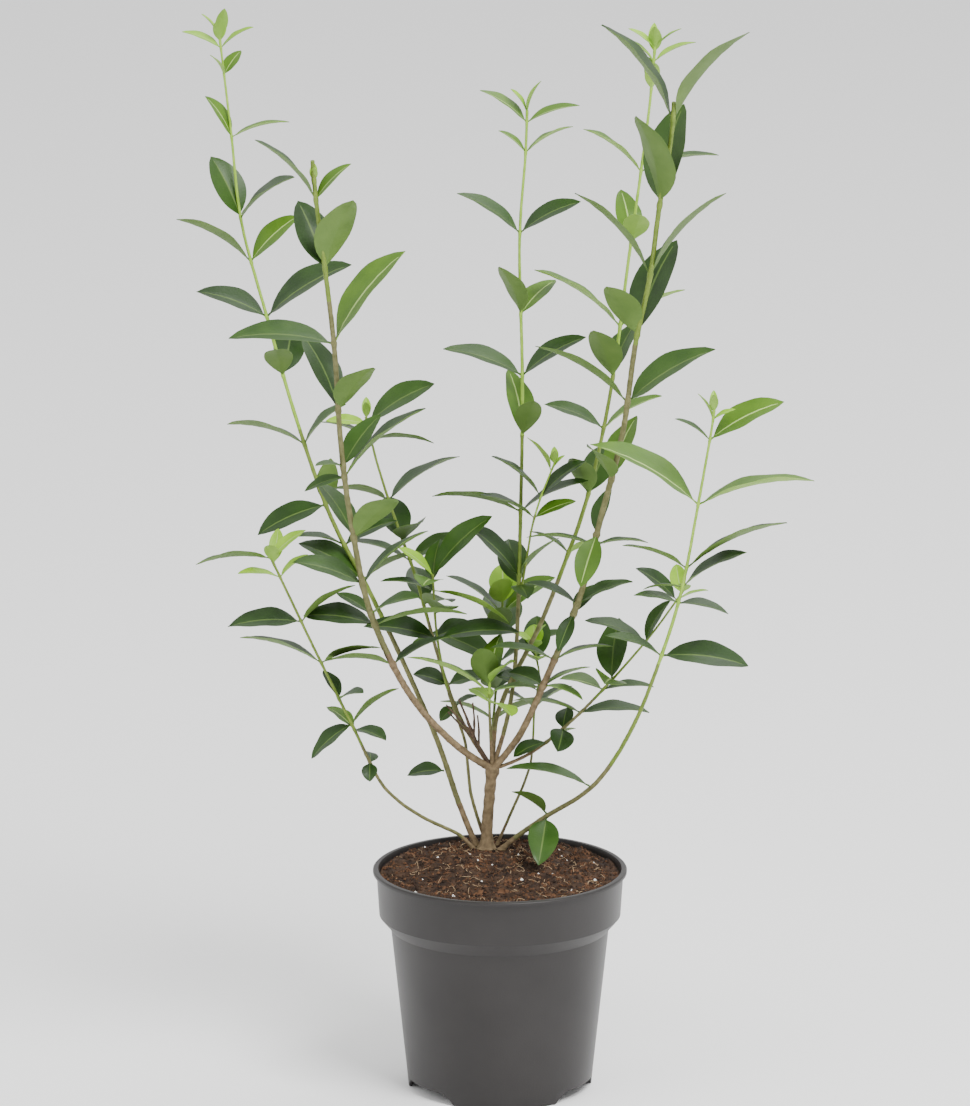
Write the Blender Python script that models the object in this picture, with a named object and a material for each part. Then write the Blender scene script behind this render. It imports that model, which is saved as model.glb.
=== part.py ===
"""A privet shrub in a round nursery pot.

The shrub stands in a 17 cm pot. Seven living limbs leave a short trunk at its fork, and more
shoots rise from the foot of the trunk. Each shoot is a bare limb below and a mass of foliage
above: one stem with pairs of opposite leaves.

Tables are in millimetres and degrees. +X is to the right, +Y to the back, +Z up, and the
origin is the centre of the pot's underside. A bearing is 0 to the right, 90 to the back, 180
to the left and 270 to the front. A rise is the angle above level.
"""

import math
import random
from collections import namedtuple

import bmesh
import bpy
from mathutils import Vector
from mathutils.bvhtree import BVHTree

MM = 0.001
GAP = 0.3
SEED = 41

# Pot: one moulded shell with a collar, three feet and a raised floor
POT_HEIGHT = 150.0
RIM_RADIUS = 85.0
LIP_DEPTH = 3.0
LIP_PROUD = 2.2
COLLAR_DEPTH = 31.3
COLLAR_DRAFT = 2.0
SHOULDER_DEPTH = 9.2
SHOULDER_IN = 7.8
FOOT_RADIUS = 61.4
BODY_TAPER_END = 62.0
WALL = 1.8
FOOT_HEIGHT = 7.0
FLOOR_UNDERSIDE = 7.6
FLOOR_THICKNESS = 2.0
BOSS_RADIUS = 15.0
POT_SEGMENTS = 48
FOOT_COUNT = 3
FIRST_FOOT = 273.5
FOOT_HALF_ANGLE_TOP = 42.5
FOOT_HALF_ANGLE_GROUND = 34.5
DRAIN_COUNT = 6
DRAIN_RADIUS = 4.0
DRAIN_CIRCLE = 46.0

# Soil: fills the pot and rises to a low flat mound round the trunk
SOIL_EDGE_HEIGHT = 145.0
MOUND_HEIGHT = 152.0
MOUND_RADIUS = 25.0
MOUND_CENTRE = (-8.0, 43.0)
MOUND_BULGE = 2.2

# Trunk
TRUNK_FOOT = (-9.0, 40.0)
TRUNK_ROUTE = ((-8.6, 40.0, 170.0), (-7.0, 39.0, 190.0))
FORK = (-5.0, 38.0, 208.0)
TRUNK_RADIUS = 3.8
FLARE_RADIUS = 6.6
FLARE_HEIGHT = 9.0
FORK_SWELL = 1.25
STUB = 15.0
TRUNK_SIDES = 10

# Limbs and stems
LIMB_SIDES = 6
STEM_SIDES = 5
TWIG_SIDES = 4
RING_STEP = 17.0

# Leaves
LEAF_THICKNESS = 1.0
LEAF_FOLD = 0.22
LEAF_CAMBER = 0.07
LEAF_ROOT = 0.62
LEAF_ROLL = 24.0
SMALL_LEAF = 32.0
WIDTH_MATURE = 0.38
WIDTH_YOUNG = 0.34
WIDTH_LOW = 0.58
LOW_LEAF_HEIGHT = 300.0
NUDGES = (0.0, 9.0, -9.0, 18.0, -18.0, 28.0, -28.0)

# Colours
POT_GREY = (0.075, 0.068, 0.067)
PEAT = (0.060, 0.032, 0.020)
OLD_BARK = (0.230, 0.170, 0.085)
OLIVE_BARK = (0.200, 0.220, 0.070)
LEAF_DARK = (0.045, 0.110, 0.028)
LEAF_FRESH = (0.120, 0.260, 0.045)
DEAD_WOOD = (0.110, 0.065, 0.040)

# A shoot runs from the fork, or from a foot on the soil, along its route to its tip. It is
# bare up to a height. A leafing row is a node of the stem: its height, then the bearing, rise
# and length of one leaf, and the rise and length of its partner on the other side.
Shoot = namedtuple("Shoot", "name foot route girth bare leafing")

SHOOTS = (
    Shoot(
        "left",
        None,
        ((-28, 28, 226), (-60, 10, 267), (-86, -18, 331), (-98, -42, 397), (-105, -62, 459),
         (-109, -82, 532), (-120, -104, 632), (-122, -110, 659)),
        (5.0, 2.9),
        284,
        ((291, 200, 8, 48, 20, 45),
         (322, 355, 8, 62, 6, 48),
         (330, 325, 24, 43, 20, 30),
         (353, 10, 38, 56, 20, 50),
         (388, 315, 39, 53, 42, 48),
         (433, 0, 41, 71, -20, 28),
         (441, 40, 43, 44, 10, 24),
         (482, 310, 44, 51, 50, 58),
         (530, 0, 53, 78, 3, 69),
         (583, 312, 61, 58, 57, 49),
         (632, 180, 45, 56, 46, 33),
         (645, 90, 60, 12, 60, 12)),
    ),
    Shoot(
        "right",
        None,
        ((13, 30, 233), (32, 18, 279), (53, 4, 336), (67, -10, 395), (81, -25, 456),
         (89, -42, 521), (98, -54, 567), (104, -68, 619), (111, -80, 665), (113, -88, 693)),
        (4.8, 3.0),
        264,
        ((271, 340, -15, 29, 15, 26),
         (290, 5, 12, 40, 12, 44),
         (324, 230, -55, 28, 30, 30),
         (331, 190, 25, 38, 20, 40),
         (374, 180, 7, 45, 3, 36),
         (382, 240, -55, 38, 55, 34),
         (422, 240, 42, 44, 46, 50),
         (478, 180, 32, 72, 32, 68),
         (527, 230, 50, 50, 54, 70),
         (570, 180, 48, 74, 48, 74),
         (620, 238, 65, 72, 64, 69),
         (680, 180, 54, 79, 50, 77)),
    ),
    Shoot(
        "right_rear",
        None,
        ((-3, 56, 238), (5, 64, 257), (27, 72, 299), (46, 76, 348), (59, 78, 387),
         (74, 80, 458), (86, 82, 550), (93, 85, 601), (100, 88, 656), (103, 90, 692)),
        (3.6, 1.7),
        335,
        ((348, 150, 20, 32, 20, 30),
         (388, 245, 50, 40, 40, 42),
         (433, 180, 23, 43, 30, 45),
         (468, 240, 55, 46, 45, 44),
         (503, 180, 34, 69, 30, 50),
         (560, 285, 45, 34, 50, 40),
         (608, 180, 37, 48, 12, 53),
         (663, 280, 60, 24, 55, 24),
         (682, 180, 39, 26, 25, 31),
         (688, 90, 72, 20, 72, 20),
         (691, 0, 55, 22, 55, 22)),
    ),
    Shoot(
        "middle",
        None,
        ((5, 42, 242), (11, 52, 287), (14, 64, 388), (15, 73, 469), (13, 84, 560),
         (17, 90, 617), (18, 93, 648)),
        (3.2, 1.7),
        322,
        ((330, 100, 30, 45, 0, 35),
         (336, 180, 44, 54, 45, 38),
         (380, 180, 10, 60, 25, 50),
         (431, 290, 50, 38, 55, 48),
         (471, 180, 19, 56, 32, 50),
         (512, 230, 58, 43, 25, 40),
         (566, 180, 33, 50, 28, 46),
         (620, 10, 27, 36, 40, 24),
         (640, 180, 35, 38, 18, 37),
         (647, 0, 66, 23, 55, 19)),
    ),
    Shoot(
        "left_rear",
        None,
        ((-27, 55, 239), (-42, 68, 280), (-56, 82, 328), (-71, 92, 369), (-83, 99, 406),
         (-90, 104, 435)),
        (3.2, 1.5),
        240,
        ((246, 200, -40, 14, 20, 18),
         (260, 180, 18, 24, 10, 27),
         (290, 180, -30, 18, 15, 30),
         (312, 100, 25, 40, 15, 42),
         (340, 10, 25, 40, 20, 45),
         (353, 110, 35, 40, 30, 45),
         (380, 25, 25, 58, 15, 46),
         (420, 170, 17, 36, -1, 43),
         (430, 0, 32, 53, 5, 28),
         (434, 90, 60, 15, 60, 15)),
    ),
    Shoot(
        "right_twig",
        None,
        ((20, 36, 219), (54, 28, 250), (97, 16, 302), (122, 6, 340)),
        (2.6, 1.3),
        223,
        ((228, 200, -10, 25, 20, 22),
         (238, 260, -25, 24, 30, 20),
         (250, 180, 8, 46, 0, 46),
         (267, 0, 3, 34, 5, 30),
         (274, 80, 50, 46, 10, 30),
         (302, 180, 20, 43, 60, 33),
         (333, 180, 39, 35, 18, 22),
         (338, 100, 40, 24, 30, 22)),
    ),
    Shoot(
        "heart",
        None,
        ((-6, 33, 230), (-7, 29, 250), (-7, 27, 272)),
        (3.0, 1.4),
        250,
        ((257, 300, -5, 30, 10, 24),
         (264, 180, 24, 60, 5, 34),
         (268, 250, 60, 36, 55, 38),
         (271, 150, 60, 26, 60, 26)),
    ),
    Shoot(
        "far_left",
        (-16, 47),
        ((-28, 50, 182), (-42, 56, 223), (-64, 62, 274), (-90, 70, 328), (-114, 76, 374),
         (-138, 84, 444), (-157, 92, 511), (-173, 99, 571), (-179, 105, 626), (-187, 110, 695)),
        (4.2, 1.4),
        322,
        ((331, 180, 30, 50, 25, 45),
         (354, 200, 15, 34, 20, 40),
         (381, 190, -22, 50, 55, 32),
         (422, 160, 9, 56, 45, 42),
         (468, 80, 40, 42, 40, 38),
         (507, 175, 19, 50, 33, 68),
         (544, 185, 31, 58, 44, 44),
         (573, 325, 37, 56, 58, 46),
         (627, 0, 15, 40, 58, 33),
         (669, 230, 48, 21, 38, 22),
         (687, 180, 23, 28, 33, 26),
         (691, 90, 65, 20, 65, 20),
         (694, 0, 62, 20, 62, 20)),
    ),
    Shoot(
        "low_left",
        (-18, 40),
        ((-27, 37, 163), (-50, 32, 175), (-77, 24, 198), (-96, 12, 240), (-119, -4, 293),
         (-132, -14, 324), (-152, -28, 372)),
        (2.6, 1.6),
        213,
        ((218, 270, -50, 14, 10, 16),
         (243, 150, 30, 25, -10, 25),
         (247, 180, -42, 36, 38, 40),
         (266, 140, 50, 22, 20, 23),
         (293, 170, 15, 57, 17, 42),
         (324, 180, -4, 49, 18, 45),
         (357, 20, 35, 24, 10, 30),
         (367, 80, 50, 26, 45, 24),
         (371, 180, -5, 50, 40, 30)),
    ),
    Shoot(
        "thin_left",
        (-9, 50),
        ((-20, 45, 190), (-23, 45, 225), (-34, 45, 257), (-42, 46, 296), (-45, 50, 340)),
        (2.6, 1.4),
        288,
        ((296, 0, 5, 55, 10, 50),
         (313, 100, 25, 50, 20, 48),
         (329, 180, 10, 36, -24, 55),
         (335, 80, 40, 35, 10, 40),
         (339, 0, 28, 57, 40, 30)),
    ),
    Shoot(
        "far_right",
        (1, 37),
        ((12, 33, 163), (30, 26, 178), (63, 8, 205), (88, -12, 250), (107, -34, 306),
         (120, -52, 356), (130, -72, 418), (139, -88, 477), (140, -92, 488)),
        (3.6, 1.6),
        298,
        ((306, 0, -7, 58, 20, 40),
         (346, 0, -13, 34, 10, 30),
         (358, 355, 30, 49, -5, 26),
         (372, 0, 25, 73, 20, 45),
         (419, 0, 12, 78, 30, 82),
         (466, 0, 28, 55, 32, 27),
         (481, 180, 60, 20, 25, 16),
         (486, 90, 65, 15, 65, 15)),
    ),
    Shoot(
        "thin_rear",
        (-2, 48),
        ((9, 56, 176), (21, 66, 204), (23, 76, 238), (27, 84, 262), (22, 90, 283)),
        (2.2, 1.2),
        232,
        ((240, 20, 25, 30, 30, 26),
         (251, 0, 25, 39, 20, 30),
         (270, 90, 35, 40, 20, 25),
         (278, 90, 40, 20, 40, 14),
         (281, 180, 30, 16, 40, 16)),
    ),
    Shoot(
        "back",
        (-6, 58),
        ((-7, 68, 185), (-4, 92, 232), (0, 118, 272), (2, 132, 300)),
        (2.6, 1.3),
        220,
        ((228, 0, 20, 40, 20, 38),
         (246, 90, 10, 44, 30, 30),
         (262, 0, 25, 52, 25, 50),
         (278, 90, 20, 54, 50, 34),
         (292, 0, 35, 44, 35, 46),
         (298, 90, 50, 30, 60, 24)),
    ),
)

# A young shoot that leaves the middle stem and belongs to its foliage
SIDE_SHOOT_OWNER = "middle"
SIDE_SHOOT = Shoot(
    "side",
    (14, 57, 326),
    ((18, 55, 350), (21, 54, 370), (28, 52, 395), (37, 50, 418)),
    (1.8, 1.1),
    340,
    ((378, 190, 25, 41, 20, 30),
     (393, 180, 40, 43, 39, 39),
     (411, 180, 55, 28, 50, 14),
     (416, 90, 60, 12, 60, 12)),
)

# Single leaves on bare wood: the limb, then the height, bearing, rise and length
Sprig = namedtuple("Sprig", "limb height bearing rise length")
SPRIGS = (
    Sprig("far_left", 203, 180, -8, 25),
    Sprig("far_right", 204, 180, 12, 57),
    Sprig("far_right", 206, 10, 61, 48),
    Sprig("far_right", 180, 200, 35, 30),
    Sprig("far_right", 179, 262, -30, 44),
)

# Dead twigs that fan out of the fork to the left
DEAD_ROUTE = ((-13, 36, 222), (-20, 34, 236))
DEAD_GIRTH = (3.2, 2.0)
DEAD_TWIG_COUNT = 6
DEAD_TWIG_GIRTH = (1.7, 1.1)
DEAD_TWIG_LENGTH = (18.0, 34.0)
DEAD_TWIG_SPREAD = 60.0


def clear_scene():
    """Removes whatever the scene holds."""
    for item in list(bpy.data.objects):
        bpy.data.objects.remove(item, do_unlink=True)


def paint(item, colour, roughness):
    """Gives an object a material of its own."""
    material = bpy.data.materials.new(item.name + "_finish")
    material.use_nodes = True
    shader = material.node_tree.nodes["Principled BSDF"]
    shader.inputs["Base Color"].default_value = (*colour, 1.0)
    shader.inputs["Roughness"].default_value = roughness
    shader.inputs["Metallic"].default_value = 0.0
    item.data.materials.clear()
    item.data.materials.append(material)


def add_object(name, form, smooth_angle=40.0):
    """Makes an object from a bmesh in millimetres."""
    bmesh.ops.scale(form, vec=(MM, MM, MM), verts=form.verts)
    bmesh.ops.recalc_face_normals(form, faces=form.faces)
    mesh = bpy.data.meshes.new(name)
    form.to_mesh(mesh)
    form.free()
    mesh.shade_smooth()
    mesh.set_sharp_from_angle(angle=math.radians(smooth_angle))
    item = bpy.data.objects.new(name, mesh)
    bpy.context.scene.collection.objects.link(item)
    return item


def combine(item, others, operation):
    """Joins or cuts an object by all the others at once, and removes them."""
    if not others:
        return
    tools = bpy.data.collections.new(item.name + "_tools")
    bpy.context.scene.collection.children.link(tools)
    for other in others:
        bpy.context.scene.collection.objects.unlink(other)
        tools.objects.link(other)
    step = item.modifiers.new(operation.lower(), "BOOLEAN")
    step.operation = operation
    step.operand_type = "COLLECTION"
    step.collection = tools
    step.solver = "EXACT"
    shown = item.evaluated_get(bpy.context.evaluated_depsgraph_get())
    made = bpy.data.meshes.new_from_object(shown)
    item.modifiers.clear()
    item.data = made
    for other in list(tools.objects):
        bpy.data.objects.remove(other, do_unlink=True)
    bpy.data.collections.remove(tools)


def drop_scraps(item):
    """Keeps the largest connected body of a joined mesh."""
    form = bmesh.new()
    form.from_mesh(item.data)
    left = set(form.verts)
    bodies = []
    while left:
        body = {left.pop()}
        front = list(body)
        while front:
            vert = front.pop()
            for edge in vert.link_edges:
                other = edge.other_vert(vert)
                if other not in body:
                    body.add(other)
                    front.append(other)
        left -= body
        bodies.append(body)
    bodies.sort(key=len)
    scraps = [vert for body in bodies[:-1] for vert in body]
    bmesh.ops.delete(form, geom=scraps, context="VERTS")
    form.to_mesh(item.data)
    form.free()


def revolve(outline):
    """Turns an outline of (radius, height) points, from axis to axis, into a closed body."""
    form = bmesh.new()
    verts = [form.verts.new((radius, 0.0, height)) for radius, height in outline]
    edges = [form.edges.new(pair) for pair in zip(verts, verts[1:])]
    bmesh.ops.spin(
        form,
        geom=verts + edges,
        cent=(0, 0, 0),
        axis=(0, 0, 1),
        angle=math.tau,
        steps=POT_SEGMENTS,
        use_merge=True,
    )
    bmesh.ops.remove_doubles(form, verts=form.verts, dist=1e-4)
    return form


def inner_radius(height):
    """The radius of the pot's inner wall at a height."""
    collar_foot = POT_HEIGHT - COLLAR_DEPTH
    shoulder_foot = collar_foot - SHOULDER_DEPTH
    collar_top_radius = RIM_RADIUS - LIP_PROUD - WALL
    collar_foot_radius = collar_top_radius - COLLAR_DRAFT
    body_radius = collar_foot_radius - SHOULDER_IN
    stations = (
        (FLOOR_UNDERSIDE, BODY_TAPER_END - WALL),
        (shoulder_foot, body_radius),
        (collar_foot, collar_foot_radius),
        (POT_HEIGHT, collar_top_radius),
    )
    for (low, low_radius), (high, high_radius) in zip(stations, stations[1:]):
        if height <= high:
            share = (height - low) / (high - low)
            return low_radius + share * (high_radius - low_radius)
    return collar_top_radius


def pot_outline():
    """The pot's section: underside, outer wall, lip, inner wall and floor."""
    collar_foot = POT_HEIGHT - COLLAR_DEPTH
    shoulder_foot = collar_foot - SHOULDER_DEPTH
    lip_foot = POT_HEIGHT - LIP_DEPTH
    floor_top = FLOOR_UNDERSIDE + FLOOR_THICKNESS
    outer = [
        (0.0, 0.0),
        (BOSS_RADIUS, 0.0),
        (BOSS_RADIUS + 1.0, FLOOR_UNDERSIDE),
        (FOOT_RADIUS - WALL, FLOOR_UNDERSIDE),
        (FOOT_RADIUS - WALL, 0.0),
        (FOOT_RADIUS, 0.0),
        (BODY_TAPER_END + 0.2, FOOT_HEIGHT + 1.5),
        (inner_radius(shoulder_foot) + WALL, shoulder_foot),
        (inner_radius(collar_foot) + WALL, collar_foot),
        (inner_radius(lip_foot) + WALL, lip_foot),
        (RIM_RADIUS, lip_foot + 0.6),
        (RIM_RADIUS, POT_HEIGHT - 0.8),
        (RIM_RADIUS - 0.9, POT_HEIGHT),
    ]
    inner = [
        (inner_radius(POT_HEIGHT) + 0.4, POT_HEIGHT),
        (inner_radius(lip_foot), lip_foot),
        (inner_radius(collar_foot), collar_foot),
        (inner_radius(shoulder_foot), shoulder_foot),
        (inner_radius(floor_top), floor_top),
        (0.0, floor_top),
    ]
    return outer + inner


def foot_gap_cutter(bearing):
    """A block that opens the skirt between two feet, wider at the ground."""
    spacing = 360.0 / FOOT_COUNT / 2.0
    form = bmesh.new()
    corners = []
    for height, half_angle in (
        (-2.0, spacing - FOOT_HALF_ANGLE_GROUND + 2.0),
        (FOOT_HEIGHT, spacing - FOOT_HALF_ANGLE_TOP),
    ):
        for radius in (FOOT_RADIUS * 0.72, FOOT_RADIUS * 1.35):
            for side in (-1, 1):
                turn = math.radians(bearing + side * half_angle)
                place = (radius * math.cos(turn), radius * math.sin(turn), height)
                corners.append(form.verts.new(place))
    bmesh.ops.convex_hull(form, input=corners)
    return add_object("gap", form)


def drain_cutter(bearing):
    """A round hole through the floor."""
    form = bmesh.new()
    bmesh.ops.create_cone(
        form,
        cap_ends=True,
        segments=12,
        radius1=DRAIN_RADIUS,
        radius2=DRAIN_RADIUS,
        depth=3.0 * FLOOR_THICKNESS,
    )
    turn = math.radians(bearing)
    place = (DRAIN_CIRCLE * math.cos(turn), DRAIN_CIRCLE * math.sin(turn), FLOOR_UNDERSIDE)
    bmesh.ops.translate(form, vec=place, verts=form.verts)
    return add_object("drain", form)


def make_pot():
    """The moulded pot with its feet and drain holes."""
    pot = add_object("pot", revolve(pot_outline()), 35.0)
    cutters = []
    for index in range(FOOT_COUNT):
        turn = 360.0 / FOOT_COUNT
        cutters.append(foot_gap_cutter(FIRST_FOOT + turn * (index + 0.5)))
    for index in range(DRAIN_COUNT):
        cutters.append(drain_cutter(FIRST_FOOT + 360.0 / DRAIN_COUNT * (index + 0.5)))
    combine(pot, cutters, "DIFFERENCE")
    paint(pot, POT_GREY, 0.42)


def make_soil():
    """The soil in the pot, with its mound set off centre round the trunk."""
    floor_top = FLOOR_UNDERSIDE + FLOOR_THICKNESS + GAP
    collar_foot = POT_HEIGHT - COLLAR_DEPTH
    shoulder_foot = collar_foot - SHOULDER_DEPTH
    centre = Vector((*MOUND_CENTRE, MOUND_HEIGHT))
    form = bmesh.new()

    def ring(radius, height, middle=(0.0, 0.0)):
        verts = []
        for index in range(POT_SEGMENTS):
            turn = math.tau * index / POT_SEGMENTS
            place = (middle[0] + radius * math.cos(turn), middle[1] + radius * math.sin(turn))
            verts.append(form.verts.new((*place, height)))
        return verts

    def halfway(outer, inner, share, lift):
        verts = []
        for low, high in zip(outer, inner):
            place = low.co.lerp(high.co, share)
            place.z += lift
            verts.append(form.verts.new(place))
        return verts

    edge = ring(inner_radius(SOIL_EDGE_HEIGHT) - GAP, SOIL_EDGE_HEIGHT)
    top = ring(MOUND_RADIUS, MOUND_HEIGHT, MOUND_CENTRE)
    rings = [
        ring(inner_radius(floor_top) - GAP, floor_top),
        ring(inner_radius(shoulder_foot) - GAP, shoulder_foot),
        ring(inner_radius(collar_foot) - GAP, collar_foot),
        edge,
        halfway(edge, top, 0.5, MOUND_BULGE),
        top,
    ]
    for low, high in zip(rings, rings[1:]):
        for index in range(POT_SEGMENTS):
            after = (index + 1) % POT_SEGMENTS
            form.faces.new((low[index], low[after], high[after], high[index]))
    middle = form.verts.new(centre)
    bottom = form.verts.new((0, 0, floor_top))
    for index in range(POT_SEGMENTS):
        after = (index + 1) % POT_SEGMENTS
        form.faces.new((top[index], top[after], middle))
        form.faces.new((rings[0][after], rings[0][index], bottom))
    paint(add_object("soil", form), PEAT, 0.95)


def curve_through(guides):
    """Points a ring step apart on a smooth curve through the guide points."""
    guides = [Vector(place) for place in guides]
    before = guides[0] * 2 - guides[1]
    after = guides[-1] * 2 - guides[-2]
    knots = [before, *guides, after]
    points = []
    for a, b, c, d in zip(knots, knots[1:], knots[2:], knots[3:]):
        count = max(1, round((c - b).length / RING_STEP))
        for index in range(count):
            t = index / count
            points.append(
                0.5 * (2 * b + (c - a) * t + (2 * a - 5 * b + 4 * c - d) * t**2
                       + (3 * b - a - 3 * c + d) * t**3)
            )
    points.append(guides[-1])
    return points


def distances(points):
    """The distance along a line of points, for each point."""
    run = [0.0]
    for a, b in zip(points, points[1:]):
        run.append(run[-1] + (b - a).length)
    return run


def point_at(points, distance):
    """The place and direction at a distance along a line of points."""
    run = distances(points)
    distance = min(max(distance, 0.0), run[-1])
    for a, b, start, end in zip(points, points[1:], run, run[1:]):
        if distance <= end:
            return a.lerp(b, (distance - start) / (end - start)), (b - a).normalized()
    return points[-1], (points[-1] - points[-2]).normalized()


def distance_at_height(points, height):
    """How far along a line of points it first reaches a height."""
    run = distances(points)
    for a, b, start, end in zip(points, points[1:], run, run[1:]):
        if a.z <= height <= b.z:
            return start + (end - start) * (height - a.z) / (b.z - a.z)
    return run[-1]


def part_of(points, start, end):
    """The stretch of a line of points between two distances along it."""
    run = distances(points)
    inside = [p for p, d in zip(points, run) if start + 1.0 < d < end - 1.0]
    return [point_at(points, start)[0], *inside, point_at(points, end)[0]]


def tube(points, radii, sides, level_foot=False):
    """The corners and faces of a closed round limb along a line of points."""
    corners = []
    guide = Vector((0.0, -1.0, 0.0))
    for index, place in enumerate(points):
        low = points[max(index - 1, 0)]
        high = points[min(index + 1, len(points) - 1)]
        along = (high - low).normalized()
        guide = (guide - along * guide.dot(along)).normalized()
        across = along.cross(guide)
        for side in range(sides):
            turn = math.tau * side / sides
            reach = (guide * math.cos(turn) + across * math.sin(turn)) * radii[index]
            corner = place + reach
            if index == 0 and level_foot:
                corner = corner - along * ((corner.z - place.z) / along.z)
            corners.append(corner)
    faces = [tuple(reversed(range(sides)))]
    for ring in range(len(points) - 1):
        for side in range(sides):
            after = (side + 1) % sides
            base = ring * sides
            faces.append((base + side, base + after, base + sides + after, base + sides + side))
    last = (len(points) - 1) * sides
    faces.append(tuple(last + side for side in range(sides)))
    return corners, faces


def as_object(name, shape):
    """Makes an object from corners and faces."""
    corners, faces = shape
    form = bmesh.new()
    verts = [form.verts.new(corner) for corner in corners]
    for face in faces:
        form.faces.new([verts[index] for index in face])
    return add_object(name, form)


def radius_along(girth, share):
    """The radius of a limb that tapers from its foot to its tip."""
    return 0.5 * (girth[0] + (girth[1] - girth[0]) * share**0.8)


def direction(bearing, rise):
    """The unit vector at a bearing and a rise."""
    flat = math.cos(math.radians(rise))
    turn = math.radians(bearing)
    return Vector((flat * math.cos(turn), flat * math.sin(turn), math.sin(math.radians(rise))))


def leaf_shape(root, along, length, width, root_size, roll, swell=0.0):
    """The corners and faces of one leaf: a folded, arched blade on a short stalk.

    swell makes it thicker and wider all round, to test its clearance."""
    up = Vector((0.0, 0.0, 1.0))
    if abs(along.z) > 0.97:
        up = Vector((0.0, 1.0, 0.0))
    across = along.cross(up).normalized()
    turn = math.radians(roll)
    normal = across.cross(along)
    across, normal = (
        across * math.cos(turn) + normal * math.sin(turn),
        normal * math.cos(turn) - across * math.sin(turn),
    )
    half = width / 2.0
    stations = (
        (0.0, root_size, root_size * 0.9, 0.0),
        (0.30, half * 0.80 + swell, LEAF_THICKNESS / 2 + swell, 1.0),
        (0.66, half * 0.92 + swell, LEAF_THICKNESS / 2 + swell, 1.0),
    )
    corners = []
    for share, reach, thick, fold in stations:
        arch = LEAF_CAMBER * length * 4 * share * (1 - share)
        middle = root + along * (length * share) + normal * arch
        lift = normal * (LEAF_FOLD * reach * fold)
        corners += [
            middle + across * reach + lift,
            middle + normal * thick,
            middle - across * reach + lift,
            middle - normal * thick,
        ]
    corners.append(root + along * (length + swell))
    faces = [(3, 2, 1, 0)]
    for ring in (0, 4):
        for side in range(4):
            after = (side + 1) % 4
            faces.append((ring + side, ring + after, ring + 4 + after, ring + 4 + side))
    faces += [(8, 9, 12), (9, 10, 12), (10, 11, 12), (11, 8, 12)]
    return corners, faces


def leaf_width(length, height, draw):
    """A leaf's width: low small leaves are round, and young ones are slim."""
    if length < SMALL_LEAF and height < LOW_LEAF_HEIGHT:
        share = WIDTH_LOW
    elif length < SMALL_LEAF:
        share = WIDTH_YOUNG
    else:
        share = WIDTH_MATURE
    return length * share * draw


def surface(shape, blade_only=False):
    """A search tree over a shape's faces, or over a leaf's blade without its stalk."""
    corners, faces = shape
    if blade_only:
        faces = faces[5:]
    return BVHTree.FromPolygons(corners, faces)


class Crown:
    """What the leaves must stay clear of, and the leaves set so far."""

    def __init__(self):
        self.limbs = []
        self.leaves = []

    def settle(self, owner, root, bearing, rise, length, width, root_size, roll):
        """Turns a leaf a little, if it must, until it touches nothing. None if it can't."""
        turns = [(b, r) for b in NUDGES for r in NUDGES]
        turns.sort(key=lambda pair: abs(pair[0]) + abs(pair[1]))
        for turn, tilt in turns:
            along = direction(bearing + turn, rise + tilt)
            test = leaf_shape(root, along, length, width, root_size, roll, GAP)
            whole = surface(test)
            blade = surface(test, blade_only=True)
            if any(whole.overlap(tree) for name, tree in self.limbs if name != owner):
                continue
            if any(
                blade.overlap(other_blade) if name == owner else whole.overlap(other)
                for name, other, other_blade in self.leaves
            ):
                continue
            shape = leaf_shape(root, along, length, width, root_size, roll)
            self.leaves.append((owner, surface(shape), surface(shape, blade_only=True)))
            return shape
        return None


def shoot_line(shoot):
    """The line of points of a whole shoot, from the fork or from the soil."""
    if shoot.foot is None:
        start = FORK
    elif len(shoot.foot) == 2:
        start = (*shoot.foot, MOUND_HEIGHT + GAP)
    else:
        start = shoot.foot
    return curve_through((start, *shoot.route))


def limb_shape(line, girth, start, end, sides, level_foot=False):
    """A stretch of a shoot as a closed tapering limb."""
    total = distances(line)[-1]
    points = part_of(line, start, end)
    run = distances(points)
    radii = [radius_along(girth, (start + d) / total) for d in run]
    return tube(points, radii, sides, level_foot)


def trunk_shape():
    """The trunk from its flat foot and flare to the swollen fork."""
    foot = (*TRUNK_FOOT, MOUND_HEIGHT + GAP)
    head = Vector(FORK) + Vector((0.3, 0.0, 3.5))
    flare_top = Vector(foot) + Vector((0.05, 0.0, FLARE_HEIGHT))
    waist = Vector(foot) + Vector((0.02, 0.0, FLARE_HEIGHT * 0.35))
    line = curve_through((flare_top, *TRUNK_ROUTE, FORK))
    points = [Vector(foot), waist, *line, head]
    radii = [FLARE_RADIUS, TRUNK_RADIUS * 1.3, TRUNK_RADIUS * 1.06]
    radii += [TRUNK_RADIUS] * (len(line) - 2)
    radii += [TRUNK_RADIUS * FORK_SWELL, TRUNK_RADIUS * 0.7]
    return tube(points, radii, TRUNK_SIDES, level_foot=True)


def dead_line():
    """The line of the dead stem out of the fork."""
    return curve_through((FORK, *DEAD_ROUTE))


def make_trunk():
    """The trunk, fused with the first stretch of each limb that leaves its fork."""
    trunk = as_object("trunk", trunk_shape())
    stubs = []
    for shoot in SHOOTS:
        if shoot.foot is None:
            line = shoot_line(shoot)
            stubs.append(as_object("stub", limb_shape(line, shoot.girth, 0.0, STUB, LIMB_SIDES)))
    stubs.append(as_object("stub", limb_shape(dead_line(), DEAD_GIRTH, 0.0, STUB, LIMB_SIDES)))
    combine(trunk, stubs, "UNION")
    paint(trunk, OLD_BARK, 0.85)


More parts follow.
